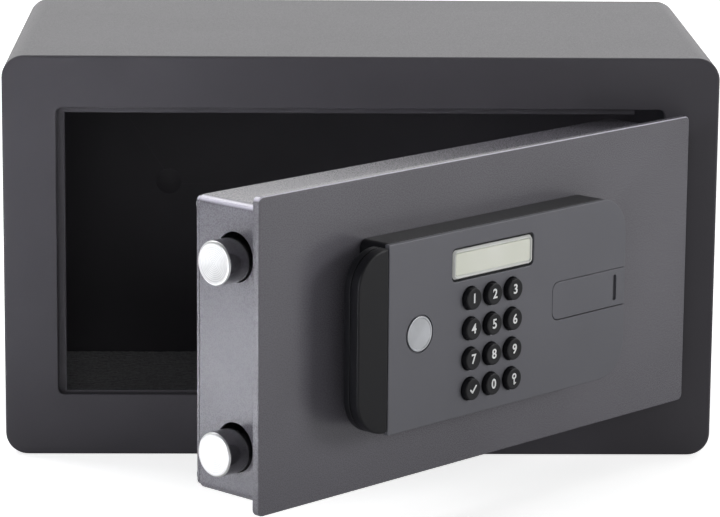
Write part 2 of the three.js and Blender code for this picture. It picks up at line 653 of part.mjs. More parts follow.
/** Shell open towards the door, joined to the flat grip that overhangs its left end. */
function housingBase() {
  const { wall } = KEYPAD;
  const shell = plate(baseOutline(0), BASE_FRONT_Y, -CLEARANCE, 6);
  const cavity = plate(baseOutline(wall), BASE_INNER_Y, 1, 6);
  const gripBack = -KEYPAD.depth + GRIP.thickness;
  const gripFront = plate(gripOutline(FACE_LEFT - CLEARANCE), -KEYPAD.depth, gripBack, 6);
  const gripRoot = plate(gripOutline(FACE_LEFT + GRIP.rootOverlap), BASE_FRONT_Y, gripBack, 6);
  const through = [BASE_FRONT_Y - 1, BASE_INNER_Y + 1];
  const display = plate(windowOutline(DISPLAY.frame), ...through);
  const keyHoles = keyPlaces().map(([x, z]) => rodY(KEY.stemHole, ...through, x, z, COARSE));
  const lock = rodY(LOCK.radius + CLEARANCE, ...through, LOCK.x, 0);
  const hollow = cut(shell, cavity, display, lock, ...keyHoles);
  return join(hollow, gripFront, gripRoot);
}

function baseOutline(inset) {
  const halfHeight = KEYPAD.height / 2 - inset;
  const right = KEYPAD.corner - inset;
  const left = KEYPAD.leftCorner - inset;
  return roundedRect(FACE_LEFT - KEYPAD.endStep + inset, FACE_RIGHT - inset, -halfHeight, halfHeight,
    [left, right, right, left]);
}

/** D shape with its round end at the left; it reaches to right on its straight side. */
function gripOutline(right) {
  const { height, corner, innerCorner } = GRIP;
  return roundedRect(GRIP_LEFT, right, -height / 2, height / 2, [corner, innerCorner, innerCorner, corner]);
}

/** Outline of the lock cover, made smaller by gap on its closed sides. */
function lockCoverOutline(gap, right) {
  const { left, height, corner } = LOCK_COVER;
  const halfHeight = height / 2 - gap;
  const sharp = KEYPAD.sharpCorner;
  return roundedRect(left + gap, right, -halfHeight, halfHeight, [corner, sharp, sharp, corner]);
}

function faceCover() {
  const { height, corner, sharpCorner, depth } = KEYPAD;
  const outline = roundedRect(FACE_LEFT, FACE_RIGHT, -height / 2, height / 2,
    [sharpCorner, corner, corner, sharpCorner]);
  const sheet = plate(outline, -depth, COVER_BOTTOM_Y, 6);
  const through = [-depth - 1, COVER_BOTTOM_Y + 1];
  const display = plate(windowOutline(0), ...through);
  const keyHoles = keyPlaces().map(([x, z]) => rodY(KEY.hole, ...through, x, z, COARSE));
  const notch = plate(lockCoverOutline(0, FACE_RIGHT + 1), ...through);
  const pocket = rodY(BADGE.radius + CLEARANCE, -depth - 1, -depth + BADGE.pocket, BADGE.x, 0);
  return cut(sheet, display, notch, pocket, ...keyHoles);
}

function lockCover() {
  const sheet = plate(lockCoverOutline(CLEARANCE, FACE_RIGHT), -KEYPAD.depth, COVER_BOTTOM_Y);
  const { slotX, slotHeight, slotDepth } = LOCK_COVER;
  const halfWidth = LOCK_COVER.slotWidth / 2;
  const slot = block(slotX - halfWidth, slotX + halfWidth, -KEYPAD.depth - 1, -KEYPAD.depth + slotDepth,
    -slotHeight / 2, slotHeight / 2);
  return cut(sheet, slot);
}

/** Clear lens that fills the cover's opening and stands a little proud of its face. */
function displayWindow() {
  return plate(windowOutline(DISPLAY.gap), -KEYPAD.depth - DISPLAY.proud, COVER_BOTTOM_Y);
}

function displayModule() {
  const frontY = BASE_INNER_Y + CLEARANCE;
  return plate(windowOutline(-DISPLAY.moduleMargin), frontY, frontY + DISPLAY.moduleDepth);
}

function circuitBoard() {
  const { left, right, halfHeight, frontFromPlate, thickness } = BOARD;
  return block(left, right, -frontFromPlate, -frontFromPlate + thickness, -halfHeight, halfHeight);
}

/** Round key along Y; y = 0 is its top face. */
function key() {
  const { radius, stem, capHeight, stemLength, edge } = KEY;
  return lathe([
    [0, 0], [radius - edge, 0], [radius, edge], [radius, capHeight], [stem, capHeight],
    [stem, capHeight + stemLength], [0, capHeight + stemLength],
  ], COARSE);
}

function keyMat() {
  const { margin, thickness } = KEY_MAT;
  const backY = -BOARD.frontFromPlate - CLEARANCE;
  const halfWidth = (KEY.columns - 1) / 2 * KEY.pitch + margin;
  const top = KEY.topRowZ + margin;
  const bottom = KEY.topRowZ - (KEY.rows - 1) * KEY.pitch - margin;
  return block(KEY.x - halfWidth, KEY.x + halfWidth, backY - thickness, backY, bottom, top);
}

/** Barrel along Y with a bore for the plug; y = 0 is its front face. */
const lockCylinder = () => cut(rodY(LOCK.radius, 0, LOCK.length, 0, 0),
  rodY(LOCK.bore, -1, LOCK.length + 1, 0, 0));

function lockPlug() {
  const { plugRadius, length, stubRadius, stubLength, keyway } = LOCK;
  const barrel = rodY(plugRadius, 0, length + CLEARANCE, 0, 0);
  const stub = rodY(stubRadius, length, length + CLEARANCE + stubLength, 0, 0, COARSE);
  const { width, depth, height } = keyway;
  return cut(join(barrel, stub), block(-width / 2, width / 2, -1, depth, -height / 2, height / 2));
}

/** Flat finger on the plug's stub, pointing to -X while locked. */
function lockCam() {
  const { camLength, camHalfWidth, camCorner, camThickness, stubRadius } = LOCK;
  const outline = roundedRect(-camLength, camHalfWidth, -camHalfWidth, camHalfWidth, camCorner);
  const hole = rodY(stubRadius + CLEARANCE, -1, camThickness + 1, 0, 0, COARSE);
  return cut(plate(outline, 0, camThickness), hole);
}

function keypad() {
  const group = new THREE.Group();
  group.position.set(KEYPAD.centreX, FRONT_Y, KEYPAD.centreZ);
  piece(group, 'housing_base', housingBase(), COLOURS.blackPlastic);
  piece(group, 'face_cover', faceCover(), COLOURS.face);
  piece(group, 'display_window', displayWindow(), COLOURS.glass);
  piece(group, 'display_module', displayModule(), COLOURS.key);
  piece(group, 'circuit_board', circuitBoard(), COLOURS.board);
  piece(group, 'key_mat', keyMat(), COLOURS.rubber);
  keyPlaces().forEach(([x, z], index) => {
    piece(group, `key_${String(index + 1).padStart(2, '0')}`, key(), COLOURS.key,
      [x, -KEYPAD.depth - KEY.proud, z]);
  });
  const badgeY = -KEYPAD.depth - BADGE.proud;
  const badge = rodY(BADGE.radius, badgeY, badgeY + BADGE.thickness, 0, 0);
  piece(group, 'badge', badge, COLOURS.badge, [BADGE.x, 0, 0]);
  piece(group, 'emergency_lock_cover', lockCover(), COLOURS.face);
  const cylinderY = -KEYPAD.depth + LOCK.fromFace;
  piece(group, 'lock_cylinder', lockCylinder(), COLOURS.brass, [LOCK.x, cylinderY, 0]);
  piece(group, 'lock_plug', lockPlug(), COLOURS.brass, [LOCK.x, cylinderY, 0]);
  piece(group, 'lock_cam', lockCam(), COLOURS.steel, [LOCK.x, cylinderY + LOCK.length + 2 * CLEARANCE, 0]);
  return group;
}

// ---------- door assembly ----------

/** The door group turns about the hinge pins; the leaf inside it keeps closed-door positions. */
function door() {
  const swing = new THREE.Group();
  swing.position.set(PIVOT.x, PIVOT_Y, 0);
  swing.rotation.z = DOOR_OPEN_ANGLE;
  const leaf = new THREE.Group();
  leaf.position.set(-PIVOT.x, -PIVOT_Y, 0);
  swing.add(leaf);

  piece(leaf, 'door_plate', doorPlate(), COLOURS.door);
  piece(leaf, 'door_box', doorBox(), COLOURS.door);
  piece(leaf, 'door_rear_cover', rearCover(), COLOURS.door);
  const outsideY = COVER_BACK_Y + CLEARANCE;
  screwCorners().forEach(([x, z], index) => {
    piece(leaf, `rear_cover_screw_${index + 1}`, coverScrew(), COLOURS.steel, [x, outsideY, z]);
  });
  for (const [end, z] of Object.entries(ARM_HEIGHTS)) {
    piece(leaf, `hinge_arm_${end}`, hingeArm(), COLOURS.steel, [PIVOT.x, PIVOT_Y, z]);
  }
  for (const [end, z] of Object.entries(BOLT_HEIGHTS)) {
    piece(leaf, `bolt_${end}`, lockingBolt(), COLOURS.chrome, [BOLT_TIP_X, BOLT_Y, z]);
  }
  piece(leaf, 'bolt_carriage', boltCarriage(), COLOURS.steel);
  piece(leaf, 'rack_guide', rackGuide(), COLOURS.blackPlastic);
  piece(leaf, 'drive_pinion', drivePinion(), COLOURS.brass, [PINION_PLACE.x, BOLT_Y, PINION_PLACE.z]);
  piece(leaf, 'gearbox', gearbox(), COLOURS.blackPlastic);
  piece(leaf, 'lock_motor', lockMotor(), COLOURS.steel);
  piece(leaf, 'ribbon_cable', ribbonCable(), COLOURS.rubber,
    [CABLE.x, FRONT_Y - CABLE.inFront, CABLE.z]);

  piece(leaf, 'battery_tray', batteryTray(), COLOURS.blackPlastic, [TRAY.x, 0, TRAY.z]);
  const cellY = TRAY_FRONT_Y + TRAY.wall + CLEARANCE + CELL.radius;
  for (let index = 0; index < CELL.count; index += 1) {
    const flip = index % 2 === 1;
    const z = TRAY.z + ((CELL.count - 1) / 2 - index) * CELL.pitch;
    const battery = piece(leaf, `battery_${index + 1}`, cell(), COLOURS.cell, [TRAY.x, cellY, z]);
    battery.rotation.z = flip ? Math.PI : 0;
  }
  piece(leaf, 'battery_cover', batteryCover(), COLOURS.blackPlastic, [TRAY.x, outsideY, TRAY.z]);
  piece(leaf, 'reset_button', resetButton(), COLOURS.rubber,
    [RESET.x, COVER_BACK_Y + RESET.proud, RESET.z]);
  leaf.add(keypad());
  return swing;
}

const group = new THREE.Group();
group.add(cabinet(), door());

export default group;
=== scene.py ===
"""Looks of the in room safe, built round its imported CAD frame. Metres, +Z up, the front faces -Y."""

import json
import math

import bmesh
import bpy
from mathutils import Matrix, Vector, noise


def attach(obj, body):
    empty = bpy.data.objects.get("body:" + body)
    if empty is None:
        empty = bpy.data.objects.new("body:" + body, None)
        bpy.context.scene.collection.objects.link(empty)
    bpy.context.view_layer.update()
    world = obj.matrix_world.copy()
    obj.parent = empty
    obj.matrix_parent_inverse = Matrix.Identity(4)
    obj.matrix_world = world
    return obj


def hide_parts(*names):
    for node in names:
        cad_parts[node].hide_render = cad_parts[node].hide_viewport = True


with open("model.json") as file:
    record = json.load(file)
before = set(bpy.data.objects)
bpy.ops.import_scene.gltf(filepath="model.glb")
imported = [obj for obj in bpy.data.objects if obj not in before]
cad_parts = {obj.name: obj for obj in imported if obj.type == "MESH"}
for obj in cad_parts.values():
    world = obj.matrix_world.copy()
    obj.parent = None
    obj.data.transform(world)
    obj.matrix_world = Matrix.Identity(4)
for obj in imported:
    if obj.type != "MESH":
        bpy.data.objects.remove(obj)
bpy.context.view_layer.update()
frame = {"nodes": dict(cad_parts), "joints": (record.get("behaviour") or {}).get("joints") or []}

NODES = frame["nodes"]
JOINTS = {joint["name"]: joint for joint in frame["joints"]}
MM = 0.001
AXIS = 0.05 * MM    # radius at which a turned profile ends beside its axis

# ---------------------------------------------------------------- places taken from the frame

PIVOT = Vector(JOINTS["door_swing"]["pos_m"])
TOWARDS_HINGE = Vector(JOINTS["bolt_slide"]["axis"])
OPEN_ANGLE = math.atan2(TOWARDS_HINGE.y, TOWARDS_HINGE.x)
# Door pieces are built in closed-door positions, then turned with this matrix.
DOOR = Matrix.Translation(PIVOT) @ Matrix.Rotation(OPEN_ANGLE, 4, "Z") @ Matrix.Translation(-PIVOT)
UNTURNED = Matrix.Identity(4)


def node_box(node, matrix=UNTURNED):
    """Lowest and highest corner of a CAD node before matrix moved it."""
    back = matrix.inverted()
    points = [back @ vertex.co for vertex in NODES[node].data.vertices]
    low = Vector(min(point[axis] for point in points) for axis in range(3))
    high = Vector(max(point[axis] for point in points) for axis in range(3))
    return low, high


def door_box(node):
    """Box of a door piece with the door closed."""
    return node_box(node, DOOR)


def centre(box):
    return (box[0] + box[1]) / 2


# ---------------------------------------------------------------- outlines and solids

LEAST_RADIUS = 0.05 * MM


class Outline:
    """A loop in the XZ plane that can be drawn smaller by an inset (a negative inset draws it larger)."""

    def at(self, inset, y):
        return [Vector((x, y, z)) for x, z in self.points(inset)]


class Rect(Outline):
    """Rounded rectangle. radii: one value, or (bottom left, bottom right, top right, top left)."""

    def __init__(self, left, right, bottom, top, radii, steps=10):
        self.sides = (left, right, bottom, top)
        self.radii = radii if isinstance(radii, tuple) else (radii,) * 4
        self.steps = steps

    def points(self, inset):
        left, right, bottom, top = self.sides
        corners = [(left, bottom, 1, 1), (right, bottom, -1, 1), (right, top, -1, -1), (left, top, 1, -1)]
        loop = []
        for index, (x, z, to_x, to_z) in enumerate(corners):
            radius = self.radii[index]
            drawn = max(radius - inset, LEAST_RADIUS)
            reach = drawn + inset
            for step in range(self.steps + 1):
                angle = math.pi + (index + step / self.steps) * math.pi / 2
                along, up = drawn * math.cos(angle), drawn * math.sin(angle)
                loop.append((x + to_x * reach + along, z + to_z * reach + up))
        return loop


class Circle(Outline):
    """Round loop about the point x, z."""

    def __init__(self, x, z, radius, steps=64):
        self.x, self.z, self.radius, self.steps = x, z, radius, steps

    def points(self, inset):
        radius = self.radius - inset
        angles = [2 * math.pi * step / self.steps for step in range(self.steps)]
        return [(self.x + radius * math.cos(a), self.z + radius * math.sin(a)) for a in angles]


def box_outline(box, radii, steps=10, grow=0.0):
    """Rounded rectangle round a node's box, made larger by grow on each side."""
    low, high = box
    return Rect(low.x - grow, high.x + grow, low.z - grow, high.z + grow, radii, steps)


def new_object(name, bm, matrix=UNTURNED):
    """An object in the scene from finished geometry, which is welded and has its faces turned outwards."""
    bmesh.ops.remove_doubles(bm, verts=bm.verts, dist=1e-7)
    bmesh.ops.recalc_face_normals(bm, faces=bm.faces)
    mesh = bpy.data.meshes.new(name)
    bm.to_mesh(mesh)
    bm.free()
    obj = bpy.data.objects.new(name, mesh)
    obj.matrix_world = matrix
    bpy.context.scene.collection.objects.link(obj)
    return obj


def bridge(bm, one, other):
    """A band of quads between two loops of the same length."""
    count = len(one)
    for index in range(count):
        following = (index + 1) % count
        corners = [one[index], one[following], other[following], other[index]]
        bm.faces.new(corners)


def ring_edges(bm, ring):
    return [bm.edges.get((ring[i], ring[(i + 1) % len(ring)])) for i in range(len(ring))]


def rounded_levels(front, back, front_round, back_round, steps=4):
    """(inset, y) pairs from the front face round its edge, down the side and round the rear edge."""
    levels = []
    for step in range(steps + 1):
        angle = math.pi / 2 * step / steps
        levels.append((front_round * (1 - math.sin(angle)), front + front_round * (1 - math.cos(angle))))
    for step in range(steps + 1):
        angle = math.pi / 2 * (1 - step / steps)
        levels.append((back_round * (1 - math.sin(angle)), back - back_round * (1 - math.cos(angle))))
    return levels


def slab(name, outline, front, back, rounding, holes=(), back_rounding=None, matrix=UNTURNED, steps=4):
    """A plate between two depths with rounded edges outside and round every hole."""
    if back_rounding is None:
        back_rounding = rounding
    levels = rounded_levels(front, back, rounding, back_rounding, steps)
    return layered(name, outline, levels, holes, matrix)


def layered(name, outline, levels, holes=(), matrix=UNTURNED):
    """A plate whose outside, and every hole, follows the (inset, y) pairs in levels from front to back."""
    bm = bmesh.new()
    front_edges, back_edges = [], []
    for loop, sign in [(outline, 1)] + [(hole, -1) for hole in holes]:
        rings = [[bm.verts.new(co) for co in loop.at(sign * inset, y)] for inset, y in levels]
        for one, other in zip(rings, rings[1:]):
            bridge(bm, one, other)
        front_edges += ring_edges(bm, rings[0])
        back_edges += ring_edges(bm, rings[-1])
    for edges, normal in [(front_edges, Vector((0, -1, 0))), (back_edges, Vector((0, 1, 0)))]:
        bmesh.ops.triangle_fill(bm, use_beauty=True, use_dissolve=False, edges=edges, normal=normal)
    return new_object(name, bm, matrix)


def loft(name, rings, matrix=UNTURNED, wrap=False, caps=False):
    """Skin over loops of points. wrap joins the last loop to the first; caps closes both ends."""
    bm = bmesh.new()
    loops = [[bm.verts.new(co) for co in ring] for ring in rings]
    pairs = list(zip(loops, loops[1:]))
    if wrap:
        pairs.append((loops[-1], loops[0]))
    for one, other in pairs:
        bridge(bm, one, other)
    if caps:
        bm.faces.new(loops[0])
        bm.faces.new(loops[-1])
    return new_object(name, bm, matrix)


def turned(name, profile, matrix, segments=96):
    """Body of revolution about local X from (along, radius) pairs, closed by a flat disc at each end."""
    rings = []
    for along, radius in profile:
        angles = [2 * math.pi * step / segments for step in range(segments)]
        rings.append([Vector((along, radius * math.cos(a), radius * math.sin(a))) for a in angles])
    return loft(name, rings, matrix, caps=True)


def facing_rear(x, y, z):
    """Place for a turned piece whose axis starts at the point and runs to the rear."""
    return Matrix.Translation((x, y, z)) @ Matrix.Rotation(math.pi / 2, 4, "Z")


def arc(centre_along, centre_radius, radius, start, end, steps=6):
    """Points of a fillet in a profile; angles in degrees, 0 along +X and 90 outwards."""
    points = []
    for step in range(steps + 1):
        angle = math.radians(start + (end - start) * step / steps)
        points.append((centre_along + radius * math.cos(angle), centre_radius + radius * math.sin(angle)))
    return points


def boolean(obj, tool, operation):
    """Cuts or joins tool into obj and removes it."""
    modifier = obj.modifiers.new("boolean", "BOOLEAN")
    modifier.operation = operation
    modifier.solver = "EXACT"
    modifier.object = tool
    bpy.context.view_layer.update()
    graph = bpy.context.evaluated_depsgraph_get()
    result = bpy.data.meshes.new_from_object(obj.evaluated_get(graph))
    obj.modifiers.remove(modifier)
    obj.data = result
    bpy.data.objects.remove(tool)
    return obj


def finish_shading(obj, angle=38):
    """Smooth shading that keeps edges sharper than angle, with large faces leading the normals."""
    mesh = obj.data
    mesh.shade_smooth()
    mesh.set_sharp_from_angle(angle=math.radians(angle))
    modifier = obj.modifiers.new("weighted_normal", "WEIGHTED_NORMAL")
    modifier.keep_sharp = True
    modifier.weight = 90


def place(obj, body, slot_name, material, nodes=(), angle=38):
    """Gives a piece its material and its body, and lets it stand in for the CAD nodes it shows."""
    obj.data.materials.clear()
    obj.data.materials.append(material)
    finish_shading(obj, angle)
    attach(obj, body)
    if nodes:
        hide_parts(*nodes)
    return obj


def dress(node, material, bevel=0.0):
    """A CAD node that stays on show: it gets its material, and soft edges by modifiers."""
    obj = NODES[node]
    obj.data.materials.clear()
    obj.data.materials.append(material)
    weld = obj.modifiers.new("weld", "WELD")
    weld.merge_threshold = 0.01 * MM
    if bevel:
        edges = obj.modifiers.new("bevel", "BEVEL")
        edges.width = bevel
        edges.segments = 2
        edges.limit_method = "ANGLE"
        edges.angle_limit = math.radians(35)
    finish_shading(obj)


# ---------------------------------------------------------------- materials


def paint(red, green, blue):
    """Linear colour from display values between 0 and 255."""

    def linear(value):
        share = value / 255
        return share / 12.92 if share <= 0.04045 else ((share + 0.055) / 1.055) ** 2.4

    return (linear(red), linear(green), linear(blue), 1.0)


class Shader:
    """A principled material and short ways to add nodes to it."""

    def __init__(self, name, **settings):
        self.material = bpy.data.materials.new(name)
        self.material.use_nodes = True
        self.tree = self.material.node_tree
        self.surface = self.tree.nodes["Principled BSDF"]
        self.place = self.node("ShaderNodeTexCoord").outputs["Object"]
        self.set(**settings)

    def node(self, kind, inputs=None, **properties):
        made = self.tree.nodes.new(kind)
        for key, value in properties.items():
            setattr(made, key, value)
        for key, value in (inputs or {}).items():
            self.feed(made.inputs[key], value)
        return made

    def feed(self, socket, value):
        """Links another node's output to a socket, or sets the socket to a plain value."""
        if isinstance(value, bpy.types.NodeSocket):
            self.tree.links.new(value, socket)
        else:
            socket.default_value = value

    def set(self, **settings):
        """Feeds inputs of the surface, named with _ for each space."""
        for key, value in settings.items():
            self.feed(self.surface.inputs[key.replace("_", " ")], value)

    def noise(self, size, detail=2.0, stretch=(1, 1, 1)):
        """Grey noise whose features are about size metres across, stretched along the axes."""
        mapping = self.node("ShaderNodeMapping", {"Vector": self.place})
        mapping.inputs["Scale"].default_value = tuple(1 / (size * share) for share in stretch)
        stretched = mapping.outputs["Vector"]
        made = self.node("ShaderNodeTexNoise", {"Vector": stretched, "Scale": 1.0, "Detail": detail})
        return made.outputs["Fac"]

    def between(self, factor, low, high, start=0.35, end=0.65):
        """A value or colour that goes from low to high as factor goes from start to end."""
        share = self.node("ShaderNodeMapRange", {
            "Value": factor, "From Min": start, "From Max": end}).outputs["Result"]
        colours = isinstance(low, tuple) or isinstance(high, tuple)
        mix = self.node("ShaderNodeMix", data_type="RGBA" if colours else "FLOAT")
        sockets = [socket for socket in mix.inputs if socket.enabled]
        for socket, value in zip(sockets, (share, low, high)):
            self.feed(socket, value)
        return next(socket for socket in mix.outputs if socket.enabled)

    def bump(self, height, depth, strength=1.0):
        """Surface relief of depth metres from a 0 to 1 height."""
        bump = self.node("ShaderNodeBump", {"Height": height, "Distance": depth, "Strength": strength})
        self.feed(self.surface.inputs["Normal"], bump.outputs["Normal"])
        return bump

    def radius(self):
        """Distance from the object's own X axis."""
        parts = self.node("ShaderNodeSeparateXYZ", {"Vector": self.place})
        flat = self.node("ShaderNodeCombineXYZ", {"X": parts.outputs["Y"], "Y": parts.outputs["Z"]})
        length = self.node("ShaderNodeVectorMath", {0: flat.outputs["Vector"]}, operation="LENGTH")
        return length.outputs["Value"]


def scaled(colour, share):
    """The colour made lighter or darker by share."""
    return tuple(channel * share for channel in colour[:3]) + (1.0,)


def powder_coat(name, colour, roughness, shine=0.5, grain=0.45 * MM, depth=0.018 * MM, bend_highlight=1.0):
    """Satin powder coat with orange peel and faint clouding, and painted highlights that lighten its sharp
    edges and upward bends.
    """
    shader = Shader(name, Specular_IOR_Level=shine)
    peel = shader.noise(grain, 3.0)
    cloud = shader.noise(70 * MM, 3.0)
    geometry = shader.node("ShaderNodeNewGeometry").outputs
    # Painted highlight: where the mesh is pointy, along sharp edges, the colour is mixed part way towards
    # a paler 1.5 times its value.
    edge = shader.between(geometry["Pointiness"], 0.0, 0.4, 0.52, 0.62)
    body = shader.between(cloud, scaled(colour, 0.94), scaled(colour, 1.06))
    coat = shader.between(edge, body, scaled(colour, 1.5), 0.0, 1.0)
    # Painted highlight: faces that bend between upright and level, facing upwards, take a paler tone
    # scaled from the colour by the given factor; upright and level faces are left alone.
    tilt = shader.node("ShaderNodeSeparateXYZ", {"Vector": geometry["Normal"]}).outputs["Z"]
    off_upright = shader.between(tilt, 0.0, 1.0, 0.2, 0.5)
    off_level = shader.between(tilt, 1.0, 0.0, 0.85, 0.97)
    bend = shader.node("ShaderNodeMath", {0: off_upright, 1: off_level}, operation="MULTIPLY")
    bend_highlight_tone = scaled(colour, bend_highlight)
    shader.set(Base_Color=shader.between(bend.outputs["Value"], coat, bend_highlight_tone, 0.0, 1.0))
    shader.set(Roughness=shader.between(peel, 0.9 * roughness, 1.15 * roughness))
    shader.bump(peel, depth)
    return shader.material


def moulded_plastic(name, colour, roughness, grain=0.25 * MM, depth=0.01 * MM, shine=0.5):
    """Injection-moulded plastic with a fine spark-eroded grain."""
    shader = Shader(name, Specular_IOR_Level=shine)
    texture = shader.noise(grain, 2.0)
    wipe = shader.noise(35 * MM, 2.0)
    shader.set(Base_Color=shader.between(wipe, scaled(colour, 0.93), scaled(colour, 1.07)))
    shader.set(Roughness=shader.between(texture, roughness - 0.04, roughness + 0.06))
    shader.bump(texture, depth)
    return shader.material


def metallic_face(name, colour):
    """Satin lacquer with metal flake over plastic."""
    shader = Shader(name, Metallic=0.35)
    flake = shader.noise(0.12 * MM, 1.0)
    cloud = shader.noise(60 * MM, 2.0)
    tone = shader.between(cloud, scaled(colour, 0.97), scaled(colour, 1.03))
    bright = shader.between(flake, 0.0, 1.0, 0.62, 0.74)
    shader.set(Base_Color=shader.between(bright, tone, scaled(colour, 1.7), 0.0, 2.0))
    shader.set(Roughness=shader.between(flake, 0.36, 0.46))
    shader.bump(flake, 0.003 * MM)
    return shader.material


def brushed_metal(name, colour, roughness, along=(30, 1, 1), depth=0.004 * MM):
    """Drawn or zinc-plated steel with fine lines along one axis."""
    shader = Shader(name, Metallic=1.0)
    lines = shader.noise(0.2 * MM, 3.0, along)
    stain = shader.noise(14 * MM, 3.0)
    shader.set(Base_Color=shader.between(stain, scaled(colour, 0.86), colour))
    shader.set(Roughness=shader.between(lines, roughness - 0.06, roughness + 0.1))
    shader.bump(lines, depth)
    return shader.material


def turned_chrome(name):
    """A chromed bolt: turning rings on its bright faced end, and a darker shank behind the edge."""
    shader = Shader(name, Metallic=1.0)
    turns = 2 * math.pi / (0.9 * MM)
    rings = shader.node("ShaderNodeMath", {0: shader.radius(), 1: turns}, operation="MULTIPLY")
    wave = shader.node("ShaderNodeMath", {0: rings.outputs[0]}, operation="SINE").outputs[0]
    along = shader.node("ShaderNodeSeparateXYZ", {"Vector": shader.place}).outputs["X"]
    haze = shader.noise(5 * MM, 3.0)
    end = shader.between(haze, paint(226, 226, 230), paint(240, 240, 243))
    turned_end = shader.between(wave, paint(204, 205, 210), end, -1.0, 0.2)
    shank = shader.between(haze, paint(138, 138, 144), paint(158, 158, 164))
    shader.set(Base_Color=shader.between(along, turned_end, shank, 0.9 * MM, 1.6 * MM))
    shader.set(Roughness=shader.between(along, 0.34, 0.15, 0.5 * MM, 1.4 * MM))
    shader.bump(wave, 0.0006 * MM)
    return shader.material


def needle_felt(name, colour):
    """Matted fibres: tangled light and dark strands on a very rough ground."""
    shader = Shader(name, Roughness=1.0, Sheen_Weight=0.6, Sheen_Roughness=0.5)
    strands = shader.noise(1.6 * MM, 6.0, (3, 1, 1))
    crossing = shader.noise(1.4 * MM, 6.0, (1, 3, 1))
    patch = shader.noise(9 * MM, 4.0)
    both = shader.node("ShaderNodeMath", {0: strands, 1: crossing}, operation="MULTIPLY").outputs[0]
    ground = shader.between(both, scaled(colour, 0.2), scaled(colour, 3.0), 0.14, 0.38)
    shader.set(Base_Color=shader.between(patch, ground, scaled(colour, 1.6), 0.3, 1.1))
    shader.bump(both, 0.9 * MM)
    return shader.material


def display_film(name):
    """Reflective display: pale film with a fine pixel lattice under a clear front."""
    shader = Shader(name, Roughness=0.35, Coat_Weight=1.0, Coat_Roughness=0.04)
    pixels = 1 / (0.5 * MM)
    lattice = shader.node("ShaderNodeTexChecker", {"Vector": shader.place, "Scale": pixels}).outputs["Fac"]
    cloud = shader.noise(25 * MM, 1.0)
    tone = shader.between(cloud, paint(222, 224, 210), paint(234, 235, 226))
    shader.set(Base_Color=shader.between(lattice, tone, paint(206, 208, 196), 0.0, 4.0))
    # Painted glow: a faint emission lightens the film, which gives no light of its own.
    shader.set(Emission_Color=paint(226, 228, 214), Emission_Strength=0.1)
    return shader.material


def printed_sleeve(name):
    """Battery sleeve: coppery brown shrink film, faintly mottled, a little rougher higher up."""
    shader = Shader(name, Metallic=0.3)
    along = shader.node("ShaderNodeSeparateXYZ", {"Vector": shader.place}).outputs["Z"]
    fibre = shader.noise(2 * MM, 2.0)
    shader.set(Base_Color=shader.between(fibre, paint(120, 78, 34), paint(140, 96, 48)))
    shader.set(Roughness=shader.between(along, 0.26, 0.34, 0.0, 0.2))
    shader.bump(fibre, 0.01 * MM)
    return shader.material


def circuit_board(name):
    """Green solder mask over faint copper tracks."""
    shader = Shader(name, Roughness=0.4)
    tracks = shader.node("ShaderNodeTexBrick", {"Vector": shader.place, "Scale": 180.0}).outputs["Fac"]
    shader.set(Base_Color=shader.between(tracks, paint(20, 82, 48), paint(34, 112, 66), 0.0, 1.0))
    shader.bump(tracks, 0.03 * MM)
    return shader.material


BODY = powder_coat("body_paint", paint(78, 76, 81), 0.42, shine=0.2, grain=0.6 * MM, depth=0.03 * MM)
INNER = powder_coat("inner_paint", paint(38, 37, 41), 0.6)
# The door paint's upward bends carry a strong painted highlight, 5.5 times its colour.
DOOR_PAINT = powder_coat("door_paint", paint(98, 96, 103), 0.27, shine=0.7, grain=0.5 * MM,
                         depth=0.006 * MM, bend_highlight=5.5)
FELT = needle_felt("mat_felt", paint(84, 83, 89))
ZINC = brushed_metal("zinc_steel", paint(176, 178, 182), 0.34)
CHROME = turned_chrome("bolt_chrome")
BLACK = moulded_plastic("black_plastic", paint(19, 19, 23), 0.36, shine=0.28)
FACE = metallic_face("face_grey", paint(104, 104, 110))
KEY_PLASTIC = moulded_plastic("key_plastic", paint(22, 22, 26), 0.34, shine=0.3)
LEGEND = moulded_plastic("legend_white", paint(244, 244, 244), 0.4)
FILM = display_film("display_glass")
CLEAR_FRAME = moulded_plastic("clear_frame", paint(232, 233, 230), 0.18)
BADGE = brushed_metal("badge_metal", paint(200, 202, 206), 0.36, along=(1, 30, 30))
BOARD = circuit_board("board")
BRASS = brushed_metal("brass", paint(186, 152, 84), 0.3)
SILICONE = moulded_plastic("silicone", paint(26, 26, 29), 0.6, shine=0.3)
SLEEVE = printed_sleeve("cell_jacket")

# ---------------------------------------------------------------- cabinet

CABINET_STEPS = 12
CABINET_CORNER = 11 * MM
SEAM_ROUND = 0.4 * MM       # edge of each sheet along the seam between body and rear panel
FIXING_SIDE = 100 * MM      # distance of each fixing hole from the middle
FIXING_RADIUS = 4.5 * MM


def cabinet_outline():
    return box_outline(node_box("front_frame"), CABINET_CORNER, CABINET_STEPS)


def opening_outline():
    """The doorway: the door plate's outline grown by the gap round it."""
    low, high = door_box("door_plate")
    gap, hinge_gap, corner = 0.9 * MM, 2.2 * MM, 3 * MM
    return Rect(low.x - gap, high.x + hinge_gap, low.z - gap, high.z + gap, corner, CABINET_STEPS)


